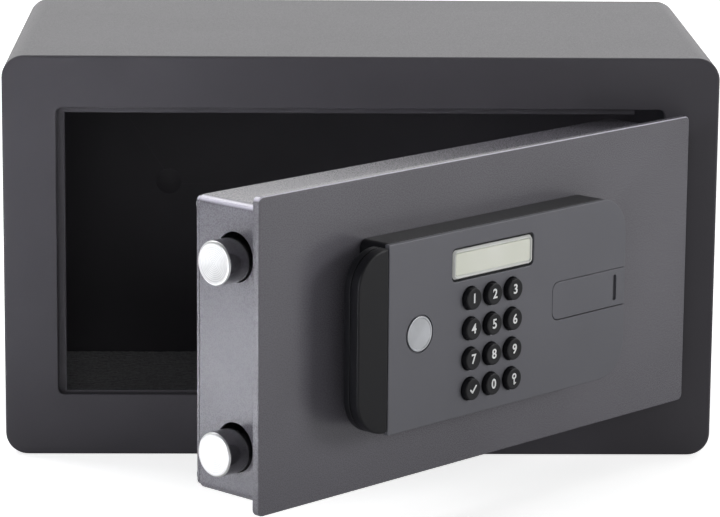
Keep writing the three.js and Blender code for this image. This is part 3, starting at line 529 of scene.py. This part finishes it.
def cabinet_shell():
    """Front frame and folded body sheet, welded and painted as one skin."""
    front_round, edge_round, inner_round, sheet = 1.3 * MM, 0.6 * MM, 0.2 * MM, 2 * MM
    frame_low, frame_high = node_box("front_frame")
    wrap_back = node_box("body_wrap")[1].y
    outer, opening = cabinet_outline(), opening_outline()
    rings = [opening.at(-inset, y) for inset, y in
             rounded_levels(frame_low.y, frame_high.y, edge_round, inner_round)]
    rings.append(outer.at(sheet, frame_high.y))
    rings.append(outer.at(sheet, wrap_back))
    skin = rounded_levels(frame_low.y, wrap_back, front_round, SEAM_ROUND, 6)
    rings += [outer.at(inset, y) for inset, y in reversed(skin)]
    shell = loft("cabinet_shell", rings, wrap=True)
    depth = 3 * MM
    profile = [(-depth, FIXING_RADIUS), (depth, FIXING_RADIUS)]
    upright = Matrix.Rotation(math.pi / 2, 4, "Y")
    for side in (-FIXING_SIDE, FIXING_SIDE):
        hole = turned("hole", profile, Matrix.Translation((side, 0, 0)) @ upright, 48)
        boolean(shell, hole, "DIFFERENCE")
    return place(shell, "cabinet", "body_paint", BODY, ("front_frame", "body_wrap"))


def rear_panel():
    """Rear sheet with its two fixing holes, rounded most on its outer edge."""
    low, high = node_box("rear_panel")
    middle, outer_round = (low.z + high.z) / 2, 0.9 * MM
    holes = [Circle(side, middle, FIXING_RADIUS) for side in (-FIXING_SIDE, FIXING_SIDE)]
    panel = slab("rear_sheet", cabinet_outline(), low.y, high.y, SEAM_ROUND, holes, outer_round)
    place(panel, "cabinet", "body_paint", BODY, ("rear_panel",))


def wall_plug(node):
    """Push-in plug of a fixing hole: a low dome inside the cabinet that thins to its rim, on a stem."""
    low, high = node_box(node)
    axis = centre((low, high))
    radius, head, dome, rim, stem = (high.x - low.x) / 2, 1.5 * MM, 0.7 * MM, 0.1 * MM, 4.2 * MM
    end = high.y - low.y
    steps = 12
    profile = []
    for step in range(steps + 1):
        share = step / steps
        profile.append((head - rim - dome * (1 - share ** 2), max(share * radius, AXIS)))
    profile += [(head, radius), (head, stem), (end, stem), (end, AXIS)]
    plug = turned(node.replace("wall", "fixing"), profile, facing_rear(axis.x, low.y, axis.z), 64)
    place(plug, "cabinet", "black_plastic", BODY, (node,))


def felt_mat():
    """A loose felt mat: a fine grid whose top rises and dips with the fibres."""
    low, high = node_box("floor_mat")
    columns, rows = 220, 130
    tuft_size, tuft_height = 2.6 * MM, 0.35 * MM
    wave_size, wave_height = 28 * MM, 0.2 * MM
    level = high.z - tuft_height - wave_height

    def height(x, y):
        tuft = noise.noise(Vector((x, y, 0)) / tuft_size)
        wave = noise.noise(Vector((x, y, 1)) / wave_size)
        return level + tuft_height * tuft + wave_height * wave

    bm = bmesh.new()
    top = []
    for row in range(rows + 1):
        y = low.y + (high.y - low.y) * row / rows
        line = []
        for column in range(columns + 1):
            x = low.x + (high.x - low.x) * column / columns
            line.append(bm.verts.new((x, y, height(x, y))))
        top.append(line)
    for near, far in zip(top, top[1:]):
        for column in range(columns):
            bm.faces.new((near[column], near[column + 1], far[column + 1], far[column]))
    rim = [edge for edge in bm.edges if edge.is_boundary]
    made = bmesh.ops.extrude_edge_only(bm, edges=rim)
    lowered = [item for item in made["geom"] if isinstance(item, bmesh.types.BMVert)]
    for vertex in lowered:
        vertex.co.z = low.z
    bottom = [item for item in made["geom"] if isinstance(item, bmesh.types.BMEdge)
              and all(vertex in lowered for vertex in item.verts)]
    bmesh.ops.triangle_fill(bm, use_beauty=False, edges=bottom, normal=Vector((0, 0, -1)))
    mat = new_object("felt_mat", bm)
    place(mat, "cabinet", "mat_felt", FELT, ("floor_mat",), angle=80)


def cabinet():
    cabinet_shell()
    rear_panel()
    felt_mat()
    dress("stop_lip", BODY, 0.4 * MM)
    for node in ("strike_plate", "hinge_bracket_top", "hinge_bracket_bottom"):
        dress(node, INNER, 0.3 * MM)
    for node in ("wall_plug_left", "wall_plug_right"):
        wall_plug(node)
    for node in ("hinge_pin_top", "hinge_pin_bottom"):
        dress(node, ZINC, 0.3 * MM)


# ---------------------------------------------------------------- door leaf

SCREWS = [f"rear_cover_screw_{number}" for number in range(1, 5)]
CELLS = [f"battery_{number}" for number in range(1, 5)]


def lock_hole():
    """Round opening over the emergency lock, the same in the door plate and the keypad base."""
    lock = centre(door_box("lock_cylinder"))
    return Circle(lock.x, lock.z, 7.3 * MM)


def door_plate():
    low, high = door_box("door_plate")
    outline = box_outline((low, high), 3 * MM, 12)
    plate = slab("door_skin", outline, low.y, high.y, 0.7 * MM, [lock_hole()], matrix=DOOR)
    place(plate, "door", "door_paint", DOOR_PAINT, ("door_plate",))


def door_pan():
    """The folded box behind the plate: four walls with bent corners, and a flange round its open rear."""
    low, high = door_box("door_box")
    outline = box_outline((low, high), 3.5 * MM, 12)
    sheet, flange, bend = 1.5 * MM, 9 * MM, 1.6 * MM
    rings = [outline.at(sheet, low.y), outline.at(0, low.y)]
    steps = 6
    for step in range(steps + 1):
        angle = math.pi / 2 * step / steps
        inset, setback = bend * (1 - math.cos(angle)), bend * (1 - math.sin(angle))
        rings.append(outline.at(inset, high.y - setback))
    rings.append(outline.at(flange, high.y))
    rings.append(outline.at(flange, high.y - sheet))
    rings.append(outline.at(sheet, high.y - sheet))
    pan = loft("door_pan", rings, DOOR, wrap=True)
    rise, radius, reach = 0.9 * MM, 11.25 * MM, 5 * MM
    for node in ("bolt_top", "bolt_bottom"):
        axis = centre(door_box(node))
        wall = Vector((low.x, axis.y, axis.z + rise))
        hole = turned("hole", [(-reach, radius), (reach, radius)], DOOR @ Matrix.Translation(wall), 96)
        boolean(pan, hole, "DIFFERENCE")
    place(pan, "door", "door_paint", DOOR_PAINT, ("door_box",))


def rear_cover():
    """Cover sheet at the back of the door, open at the battery bay and the reset button."""
    low, high = door_box("door_rear_cover")
    lap, bay_corner, reset_radius = 5 * MM, 2 * MM, 3.3 * MM
    bay = box_outline(door_box("battery_cover"), bay_corner, grow=-lap)
    reset = centre(door_box("reset_button"))
    holes = [bay, Circle(reset.x, reset.z, reset_radius)]
    outline = box_outline((low, high), 2.5 * MM)
    cover = slab("rear_cover", outline, low.y, high.y, 0.3 * MM, holes, matrix=DOOR)
    place(cover, "door", "door_paint", DOOR_PAINT, ("door_rear_cover",))


def cross_head_screw(node):
    """Pan-head screw with a cross recess, seen from behind the door."""
    low, high = door_box(node)
    axis = centre((low, high))
    radius, shank, head, crown = (high.x - low.x) / 2, 1.5 * MM, 1.6 * MM, 1.1 * MM
    under = high.y - head
    profile = [(low.y - under, AXIS), (low.y - under, shank), (0, shank), (0, radius)]
    profile += arc(head - crown, radius - crown, crown, 90, 0)
    profile.append((head, AXIS))
    name = node.replace("rear_cover_screw", "pan_screw")
    screw = turned(name, profile, DOOR @ facing_rear(axis.x, under, axis.z), 40)
    reach, half_width, recess, drive_angle = 1.9 * MM, 0.35 * MM, 0.8 * MM, 0.4
    cross = Rect(-reach, reach, -half_width, half_width, 0.1 * MM, 2)
    for turn in (drive_angle, drive_angle + math.pi / 2):
        spot = Matrix.Translation((axis.x, high.y - recess, axis.z)) @ Matrix.Rotation(turn, 4, "Y")
        slot = slab("slot", cross, 0, 3 * MM, 0.02 * MM, matrix=DOOR @ spot, steps=1)
        boolean(screw, slot, "DIFFERENCE")
    place(screw, "door", "zinc_steel", ZINC, (node,))


def locking_bolt(node, name):
    """Round chromed bolt with a softly rounded nose edge round a slightly sunk end face."""
    low, high = door_box(node)
    axis = centre((low, high))
    radius, edge, length = (high.z - low.z) / 2, 1.1 * MM, 34 * MM
    sunk, tail, end = 0.2 * MM, 4 * MM, high.x - low.x
    profile = [(sunk, AXIS), (sunk, 0.76 * radius), (0, 0.79 * radius)]
    profile += arc(edge, radius - edge, edge, 180, 90)
    profile += [(length, radius), (length, tail), (end, tail), (end, AXIS)]
    bolt = turned(name, profile, DOOR @ Matrix.Translation((low.x, axis.y, axis.z)))
    place(bolt, "bolt_work", "bolt_chrome", CHROME, (node,))


def battery_hatch():
    """Sliding cover over the battery bay, with grip ribs near its trailing edge."""
    low, high = door_box("battery_cover")
    sheet, outline = 1.6 * MM, box_outline((low, high), 3 * MM)
    hatch = slab("battery_hatch", outline, low.y, low.y + sheet, 0.5 * MM, matrix=DOOR)
    middle, half_height = (low.z + high.z) / 2, 14 * MM
    ribs, margin, pitch, width, root = 4, 8 * MM, 3 * MM, 1.2 * MM, 0.5 * MM
    for index in range(ribs):
        x = low.x + margin + index * pitch
        outline = Rect(x, x + width, middle - half_height, middle + half_height, 0.5 * MM, 4)
        rib = slab("rib", outline, low.y + sheet - root, high.y, 0.3 * MM, matrix=DOOR)
        boolean(hatch, rib, "UNION")
    place(hatch, "battery_hatch", "black_plastic", BLACK, ("battery_cover",))


def door_leaf():
    door_plate()
    door_pan()
    rear_cover()
    for node in SCREWS:
        cross_head_screw(node)
    locking_bolt("bolt_top", "locking_bolt_top")
    locking_bolt("bolt_bottom", "locking_bolt_bottom")
    battery_hatch()
    for node in ("hinge_arm_top", "hinge_arm_bottom", "bolt_carriage", "lock_motor", "lock_cam"):
        dress(node, ZINC, 0.25 * MM)
    for node in ("rack_guide", "gearbox", "battery_tray", "display_module"):
        dress(node, BLACK, 0.25 * MM)
    for node in ("drive_pinion", "lock_cylinder", "lock_plug"):
        dress(node, BRASS, 0.12 * MM)
    for node in CELLS:
        dress(node, SLEEVE, 0.2 * MM)
    dress("reset_button", KEY_PLASTIC, 0.15 * MM)
    dress("ribbon_cable", SILICONE)
    dress("key_mat", SILICONE, 0.2 * MM)
    dress("circuit_board", BOARD)


# ---------------------------------------------------------------- keypad

FACE_BOX = door_box("face_cover")
BASE_BOX = door_box("housing_base")
KEY_NAMES = [f"key_{index:02d}" for index in range(1, 13)]
FACE_CORNER = 17 * MM
HOUSING_GAP = 0.3 * MM      # between the grey cover and the black base behind it
OVERCUT = 1 * MM            # how far a cutting tool stands out of the face it cuts


def key_circles(radius):
    places = [centre(door_box(name)) for name in KEY_NAMES]
    return [Circle(place.x, place.z, radius, 48) for place in places]


def keypad_base():
    """Hollow box behind the grey cover, open to the door, with holes for display, keys and lock."""
    low, high = BASE_BOX
    left, front = FACE_BOX[0].x - 0.6 * MM, FACE_BOX[1].y + HOUSING_GAP
    wall, overrun, left_corner = 2 * MM, 1 * MM, 4 * MM
    window = box_outline(door_box("display_window"), 0.8 * MM, 4, grow=-1 * MM)
    corners = (left_corner, FACE_CORNER, FACE_CORNER, left_corner)
    outline = Rect(left, high.x, low.z, high.z, corners, 16)
    holes = [window, lock_hole(), *key_circles(3.6 * MM)]
    base = slab("keypad_housing", outline, front, high.y, 0.5 * MM, holes, 0.3 * MM, DOOR)
    inner_corners = tuple(corner - wall for corner in corners)
    inside = Rect(left + wall, high.x - wall, low.z + wall, high.z - wall, inner_corners, 12)
    cavity = slab("cavity", inside, front + wall, high.y + overrun, 0.3 * MM, matrix=DOOR)
    return boolean(base, cavity, "DIFFERENCE")


def keypad_housing():
    """Black moulding: the hollow base and the flat D-shaped grip that overhangs its left end."""
    low, high = BASE_BOX
    face_left = FACE_BOX[0].x
    front = FACE_BOX[1].y + HOUSING_GAP
    base = keypad_base()
    middle, half_height, grip = (low.z + high.z) / 2, 41.65 * MM, 9 * MM
    corners = (17.6 * MM, 1 * MM, 1 * MM, 17.6 * MM)
    setback, overlap = 0.5 * MM, 10 * MM
    bottom, top = middle - half_height + setback, middle + half_height - setback
    root_outline = Rect(low.x + setback, face_left + overlap, bottom, top, corners, 20)
    root = slab("root", root_outline, front + 0.05 * MM, low.y + grip - 0.3 * MM, 0.2 * MM, matrix=DOOR)
    boolean(base, root, "UNION")
    seam, groove = low.y + 4.7 * MM, 0.6 * MM
    levels = rounded_levels(low.y, seam, 0.9 * MM, 0.3 * MM)
    levels += [(groove, seam), (groove, seam + groove)]
    levels += rounded_levels(seam + groove, low.y + grip, 0.3 * MM, 0.8 * MM)
    outline = Rect(low.x, face_left - 0.3 * MM, middle - half_height, middle + half_height, corners, 20)
    wing = layered("wing", outline, levels, matrix=DOOR)
    boolean(base, wing, "UNION")
    place(base, "door", "black_plastic", BLACK, ("housing_base",))


def lock_cover_outline(gap):
    """Outline of the emergency lock's cover, grown by gap and much further at its open right end."""
    low, high = door_box("emergency_lock_cover")
    corners = (4 * MM, 0.6 * MM, 0.6 * MM, 4 * MM)
    return Rect(low.x - gap, high.x + 10 * gap, low.z - gap, high.z + gap, corners, 8)


def face_cover():
    """Grey cover: sharp left corners, rounded right ones, cut out for display, keys, badge and lock."""
    low, high = FACE_BOX
    sharp = 0.5 * MM
    outline = Rect(low.x, high.x, low.z, high.z, (sharp, FACE_CORNER, FACE_CORNER, sharp), 16)
    window = box_outline(door_box("display_window"), 2.6 * MM, 8, grow=0.95 * MM)
    holes = [window, *key_circles(5.4 * MM)]
    cover = slab("keypad_face", outline, low.y, high.y, 0.45 * MM, holes, 0.2 * MM, DOOR)
    cut = {"rounding": 0.05 * MM, "matrix": DOOR, "steps": 1}
    front = low.y - OVERCUT
    notch = slab("notch", lock_cover_outline(0.3 * MM), front, high.y + OVERCUT, **cut)
    boolean(cover, notch, "DIFFERENCE")
    badge_axis, pocket_radius, pocket_depth = centre(door_box("badge")), 8.8 * MM, 0.8 * MM
    pocket_outline = Circle(badge_axis.x, badge_axis.z, pocket_radius, 96)
    pocket = slab("pocket", pocket_outline, front, low.y + pocket_depth, **cut)
    boolean(cover, pocket, "DIFFERENCE")
    place(cover, "door", "face_grey", FACE, ("face_cover",))


def emergency_cover():
    """Slide-off cover of the emergency lock, with an upright finger slot near its free end."""
    low, high = door_box("emergency_lock_cover")
    cover = slab("emergency_cover", lock_cover_outline(0), low.y, high.y, 0.35 * MM, matrix=DOOR)
    x, middle = high.x - 7.5 * MM, (low.z + high.z) / 2
    half_width, half_height, depth = 1.2 * MM, 6.2 * MM, 1.5 * MM
    outline = Rect(x - half_width, x + half_width, middle - half_height, middle + half_height, 1.1 * MM, 6)
    slot = slab("slot", outline, low.y - OVERCUT, low.y + depth, 0.3 * MM, matrix=DOOR)
    boolean(cover, slot, "DIFFERENCE")
    place(cover, "emergency_cover", "face_grey", FACE, ("emergency_lock_cover",))


def display():
    """A bevelled pale frame round the flat reflective film, and a black gasket in the gap outside it."""
    low, high = door_box("display_window")
    bevel, border, gap, fit, sunk = 1.1 * MM, 1.7 * MM, 0.85 * MM, 0.05 * MM, 0.4 * MM
    gasket_front = FACE_BOX[0].y + 0.8 * MM
    gasket_back = gasket_front + 0.8 * MM
    seat = box_outline((low, high), 2 * MM, 8, grow=fit)
    rim = box_outline((low, high), 2.5 * MM, 8, grow=gap)
    gasket = slab("display_gasket", rim, gasket_front, gasket_back, 0.15 * MM, [seat], 0.1 * MM, DOOR)
    place(gasket, "door", "black_plastic", SILICONE)
    film = box_outline((low, high), 0.8 * MM, 8, grow=-border)
    outside = box_outline((low, high), 2 * MM, 8)
    levels = [(bevel, low.y), (0, low.y + bevel), (0, high.y)]
    frame_ring = layered("display_frame", outside, levels, [film], DOOR)
    place(frame_ring, "door", "display_glass", CLEAR_FRAME, ("display_window",))
    inner = box_outline((low, high), 0.7 * MM, 8, grow=-border - fit)
    screen = slab("display_screen", inner, low.y + sunk, high.y, 0.1 * MM, matrix=DOOR)
    place(screen, "door", "display_glass", FILM)


def badge():
    """Blank round badge with a fine raised rim."""
    low, high = door_box("badge")
    axis = centre((low, high))
    radius, thickness = (high.z - low.z) / 2, high.y - low.y
    field, edge = 0.25 * MM, 0.25 * MM
    profile = [(field, AXIS), (field, radius - 1.0 * MM), (0.05 * MM, radius - 0.8 * MM)]
    profile += arc(edge, radius - edge, edge, 180, 90, 4)
    profile += [(thickness, radius), (thickness, AXIS)]
    disc = turned("blank_badge", profile, DOOR @ facing_rear(axis.x, low.y, axis.z))
    place(disc, "door", "badge_metal", BADGE, ("badge",))


def key_cap(node):
    """Round key with a dished top and a soft edge. Returns where its mark is printed."""
    low, high = door_box(node)
    axis = centre((low, high))
    radius, edge, dish = (high.z - low.z) / 2, 0.6 * MM, 0.18 * MM
    cap, stem, end = 4.5 * MM, 3.2 * MM, high.y - low.y
    flat, steps = radius - edge, 8
    profile = []
    for step in range(steps + 1):
        share = step / steps
        profile.append((dish * (1 - share ** 2), max(flat * share, AXIS)))
    profile += arc(edge, flat, edge, 180, 90)[1:]
    profile += [(cap, radius), (cap, stem), (end, stem), (end, AXIS)]
    name = node.replace("key", "key_cap")
    cap_object = turned(name, profile, DOOR @ facing_rear(axis.x, low.y, axis.z), 64)
    place(cap_object, node, "key_plastic", KEY_PLASTIC, (node,))
    return Vector((axis.x, low.y + 0.6 * dish, axis.z))


INK_HALF = 0.06 * MM        # half the thickness of a printed mark
DIGIT_HEIGHT = 6.2 * MM


def ink(name, parts, where, body):
    """Joins flat parts, drawn in XZ about the origin, into one printed mark on a key."""
    bm = bmesh.new()
    for part in parts:
        start = len(bm.verts)
        bm.from_mesh(part.data)
        bm.verts.ensure_lookup_table()
        for vertex in bm.verts[start:]:
            vertex.co = part.matrix_world @ vertex.co
        bpy.data.objects.remove(part)
    mark = new_object(name, bm, DOOR @ Matrix.Translation(where))
    place(mark, body, "key_plastic", LEGEND)


def digit(text):
    """A digit in Blender's own typeface, thickened a little, upright in XZ."""
    curve = bpy.data.curves.new("digit", "FONT")
    curve.body = text
    curve.size = DIGIT_HEIGHT
    curve.align_x, curve.align_y = "CENTER", "CENTER"
    curve.extrude = INK_HALF
    curve.offset = 0.13 * MM
    drawn = bpy.data.objects.new("digit", curve)
    bpy.context.scene.collection.objects.link(drawn)
    bpy.context.view_layer.update()
    graph = bpy.context.evaluated_depsgraph_get()
    mesh = bpy.data.meshes.new_from_object(drawn.evaluated_get(graph))
    bpy.data.objects.remove(drawn)
    flat = bpy.data.objects.new("digit", mesh)
    flat.matrix_world = Matrix.Rotation(math.pi / 2, 4, "X")
    bpy.context.scene.collection.objects.link(flat)
    return flat


def stroke(x0, z0, x1, z1, width=0.85 * MM):
    """A short printed line with round ends."""
    length = math.hypot(x1 - x0, z1 - z0)
    turn = Matrix.Rotation(-math.atan2(z1 - z0, x1 - x0), 4, "Y")
    half_length, half_width = (length + width) / 2, width / 2
    outline = Rect(-half_length, half_length, -half_width, half_width, 0.49 * width, 6)
    made = slab("stroke", outline, -INK_HALF, INK_HALF, 0.01 * MM, steps=1)
    made.matrix_world = Matrix.Translation(((x0 + x1) / 2, 0, (z0 + z1) / 2)) @ turn
    return made


def tick():
    foot_x, foot_z = -0.5 * MM, -1.4 * MM
    return [stroke(-1.7 * MM, -0.1 * MM, foot_x, foot_z), stroke(foot_x, foot_z, 1.9 * MM, 1.5 * MM)]


def key_symbol():
    """A plain key: round bow, shank and one tooth."""
    bow_z, bow_radius, bow_hole, tooth_z = 1.3 * MM, 1.45 * MM, 0.65 * MM, -1.9 * MM
    holes = [Circle(0, bow_z, bow_hole, 24)]
    bow = slab("bow", Circle(0, bow_z, bow_radius, 32), -INK_HALF, INK_HALF, 0.01 * MM, holes, steps=1)
    shank = stroke(0, 0, 0, -2.3 * MM, 0.75 * MM)
    tooth = stroke(0, tooth_z, 0.9 * MM, tooth_z, 0.7 * MM)
    return [bow, shank, tooth]


def key_mark(number):
    """Mark of a key, counted row by row: 1 to 9, then tick, 0 and key in the bottom row."""
    if number == 10:
        return tick()
    if number == 11:
        return [digit("0")]
    if number == 12:
        return key_symbol()
    return [digit(str(number))]


def keys():
    for number, node in enumerate(KEY_NAMES, start=1):
        top = key_cap(node)
        parts = key_mark(number)
        bpy.context.view_layer.update()
        ink(f"mark_{number:02d}", parts, top, node)


def keypad():
    keypad_housing()
    face_cover()
    emergency_cover()
    display()
    badge()
    keys()


# ---------------------------------------------------------------- floor, light and camera

ROOM, SWEEP = 0.22, 1.6         # strength of the world in front of and behind the object
COOL = (0.93, 0.95, 1.0)


def grey(value):
    """Linear grey with full opacity."""
    return (value, value, value, 1.0)


def floor():
    """Pale floor: nearly white to the camera, and a darker grey where it lights the object."""
    half_side, drop = 6, 0.2 * MM
    bm = bmesh.new()
    outline = ((-1, -1), (1, -1), (1, 1), (-1, 1))
    bm.faces.new([bm.verts.new((x * half_side, y * half_side, -drop)) for x, y in outline])
    ground = new_object("floor", bm)
    shader = Shader("floor", Roughness=1.0, Specular_IOR_Level=0.0, Emission_Color=grey(1.0))
    speck = shader.noise(40 * MM, 3.0)
    pale = shader.between(speck, grey(0.84), grey(0.88))
    seen = shader.node("ShaderNodeLightPath").outputs["Is Camera Ray"]
    shader.set(Base_Color=shader.between(seen, grey(0.7), pale, 0.0, 1.0))
    shader.set(Emission_Strength=shader.between(seen, 0.0, 0.7, 0.0, 1.0))
    ground.data.materials.append(shader.material)


def softbox(name, place_at, aim, width, height, power, tint=(1, 1, 1), spread=180):
    """A rectangular lamp of power watts at one point, aimed at another."""
    data = bpy.data.lights.new(name, "AREA")
    data.shape = "RECTANGLE"
    data.size, data.size_y = width, height
    data.energy = power
    data.color = tint
    data.spread = math.radians(spread)
    lamp = bpy.data.objects.new(name, data)
    lamp.location = place_at
    lamp.rotation_euler = (Vector(aim) - Vector(place_at)).to_track_quat("-Z", "Y").to_euler()
    bpy.context.scene.collection.objects.link(lamp)


def backdrop():
    """White sweep behind the object and a dimmer room in front of it. The camera always sees white."""
    world = bpy.data.worlds.new("studio")
    bpy.context.scene.world = world
    world.use_nodes = True
    tree = world.node_tree
    nodes, links = tree.nodes, tree.links
    direction = nodes.new("ShaderNodeTexCoord").outputs["Generated"]
    split = nodes.new("ShaderNodeSeparateXYZ")
    links.new(direction, split.inputs["Vector"])
    depth = nodes.new("ShaderNodeMapRange")
    depth.interpolation_type = "SMOOTHSTEP"
    links.new(split.outputs["Y"], depth.inputs["Value"])
    for key, value in {"From Min": 0.0, "From Max": 0.9, "To Min": ROOM, "To Max": SWEEP}.items():
        depth.inputs[key].default_value = value
    seen = nodes.new("ShaderNodeLightPath").outputs["Is Camera Ray"]
    strength = nodes.new("ShaderNodeMix")
    links.new(seen, strength.inputs[0])
    links.new(depth.outputs["Result"], strength.inputs[2])
    strength.inputs[3].default_value = 1.0
    links.new(strength.outputs[0], nodes["Background"].inputs["Strength"])
    nodes["Background"].inputs["Color"].default_value = (1, 1, 1, 1)


def studio():
    """Soft light from both sides, a lit patch of floor by the lock side, and two lamps for upper edges."""
    floor()
    backdrop()
    target = (0, -0.3, 0.1)
    softbox("left_front", (-1.2, -1.2, 0.5), target, 0.6, 0.6, 5.5, COOL)
    softbox("left_floor", (-0.45, -0.45, 0.7), (-0.45, -0.45, 0), 0.25, 0.3, 3.8, COOL, 50)
    softbox("right_side", (1.5, -0.45, 0.5), target, 0.6, 0.5, 7.0)
    softbox("front_fill", (0.0, -1.9, 0.5), target, 0.5, 0.5, 2.0)
    softbox("left_edge", (-1.0, 0.4, 1.4), target, 0.5, 0.4, 6.0)
    softbox("right_edge", (1.1, 0.4, 1.35), target, 0.4, 0.3, 1.0)


def camera():
    """The photo's viewpoint: the camera turned by pitch, yaw and roll, with its lens axis off centre."""
    pitch, yaw, roll = math.radians(12.01), math.radians(1.47), math.radians(0.49)
    place_at, focal_length, sensor_width = (-0.0408, -1.7788, 0.4624), 174.6, 36
    flat = math.cos(pitch)
    forward = Vector((math.sin(yaw) * flat, math.cos(yaw) * flat, -math.sin(pitch)))
    level = Vector((math.cos(yaw), -math.sin(yaw), 0))
    upright = level.cross(forward)
    right = math.cos(roll) * level + math.sin(roll) * upright
    up = math.cos(roll) * upright - math.sin(roll) * level
    data = bpy.data.cameras.new("camera")
    data.lens = focal_length
    data.sensor_width = sensor_width
    data.shift_x, data.shift_y = -0.0066, -0.0146
    viewer = bpy.data.objects.new("camera", data)
    turn = Matrix((right, up, -forward)).transposed().to_4x4()
    viewer.matrix_world = Matrix.Translation(place_at) @ turn
    bpy.context.scene.collection.objects.link(viewer)
    bpy.context.scene.camera = viewer


cabinet()
door_leaf()
keypad()
studio()
camera()
bpy.context.scene.view_settings.view_transform = "Standard"
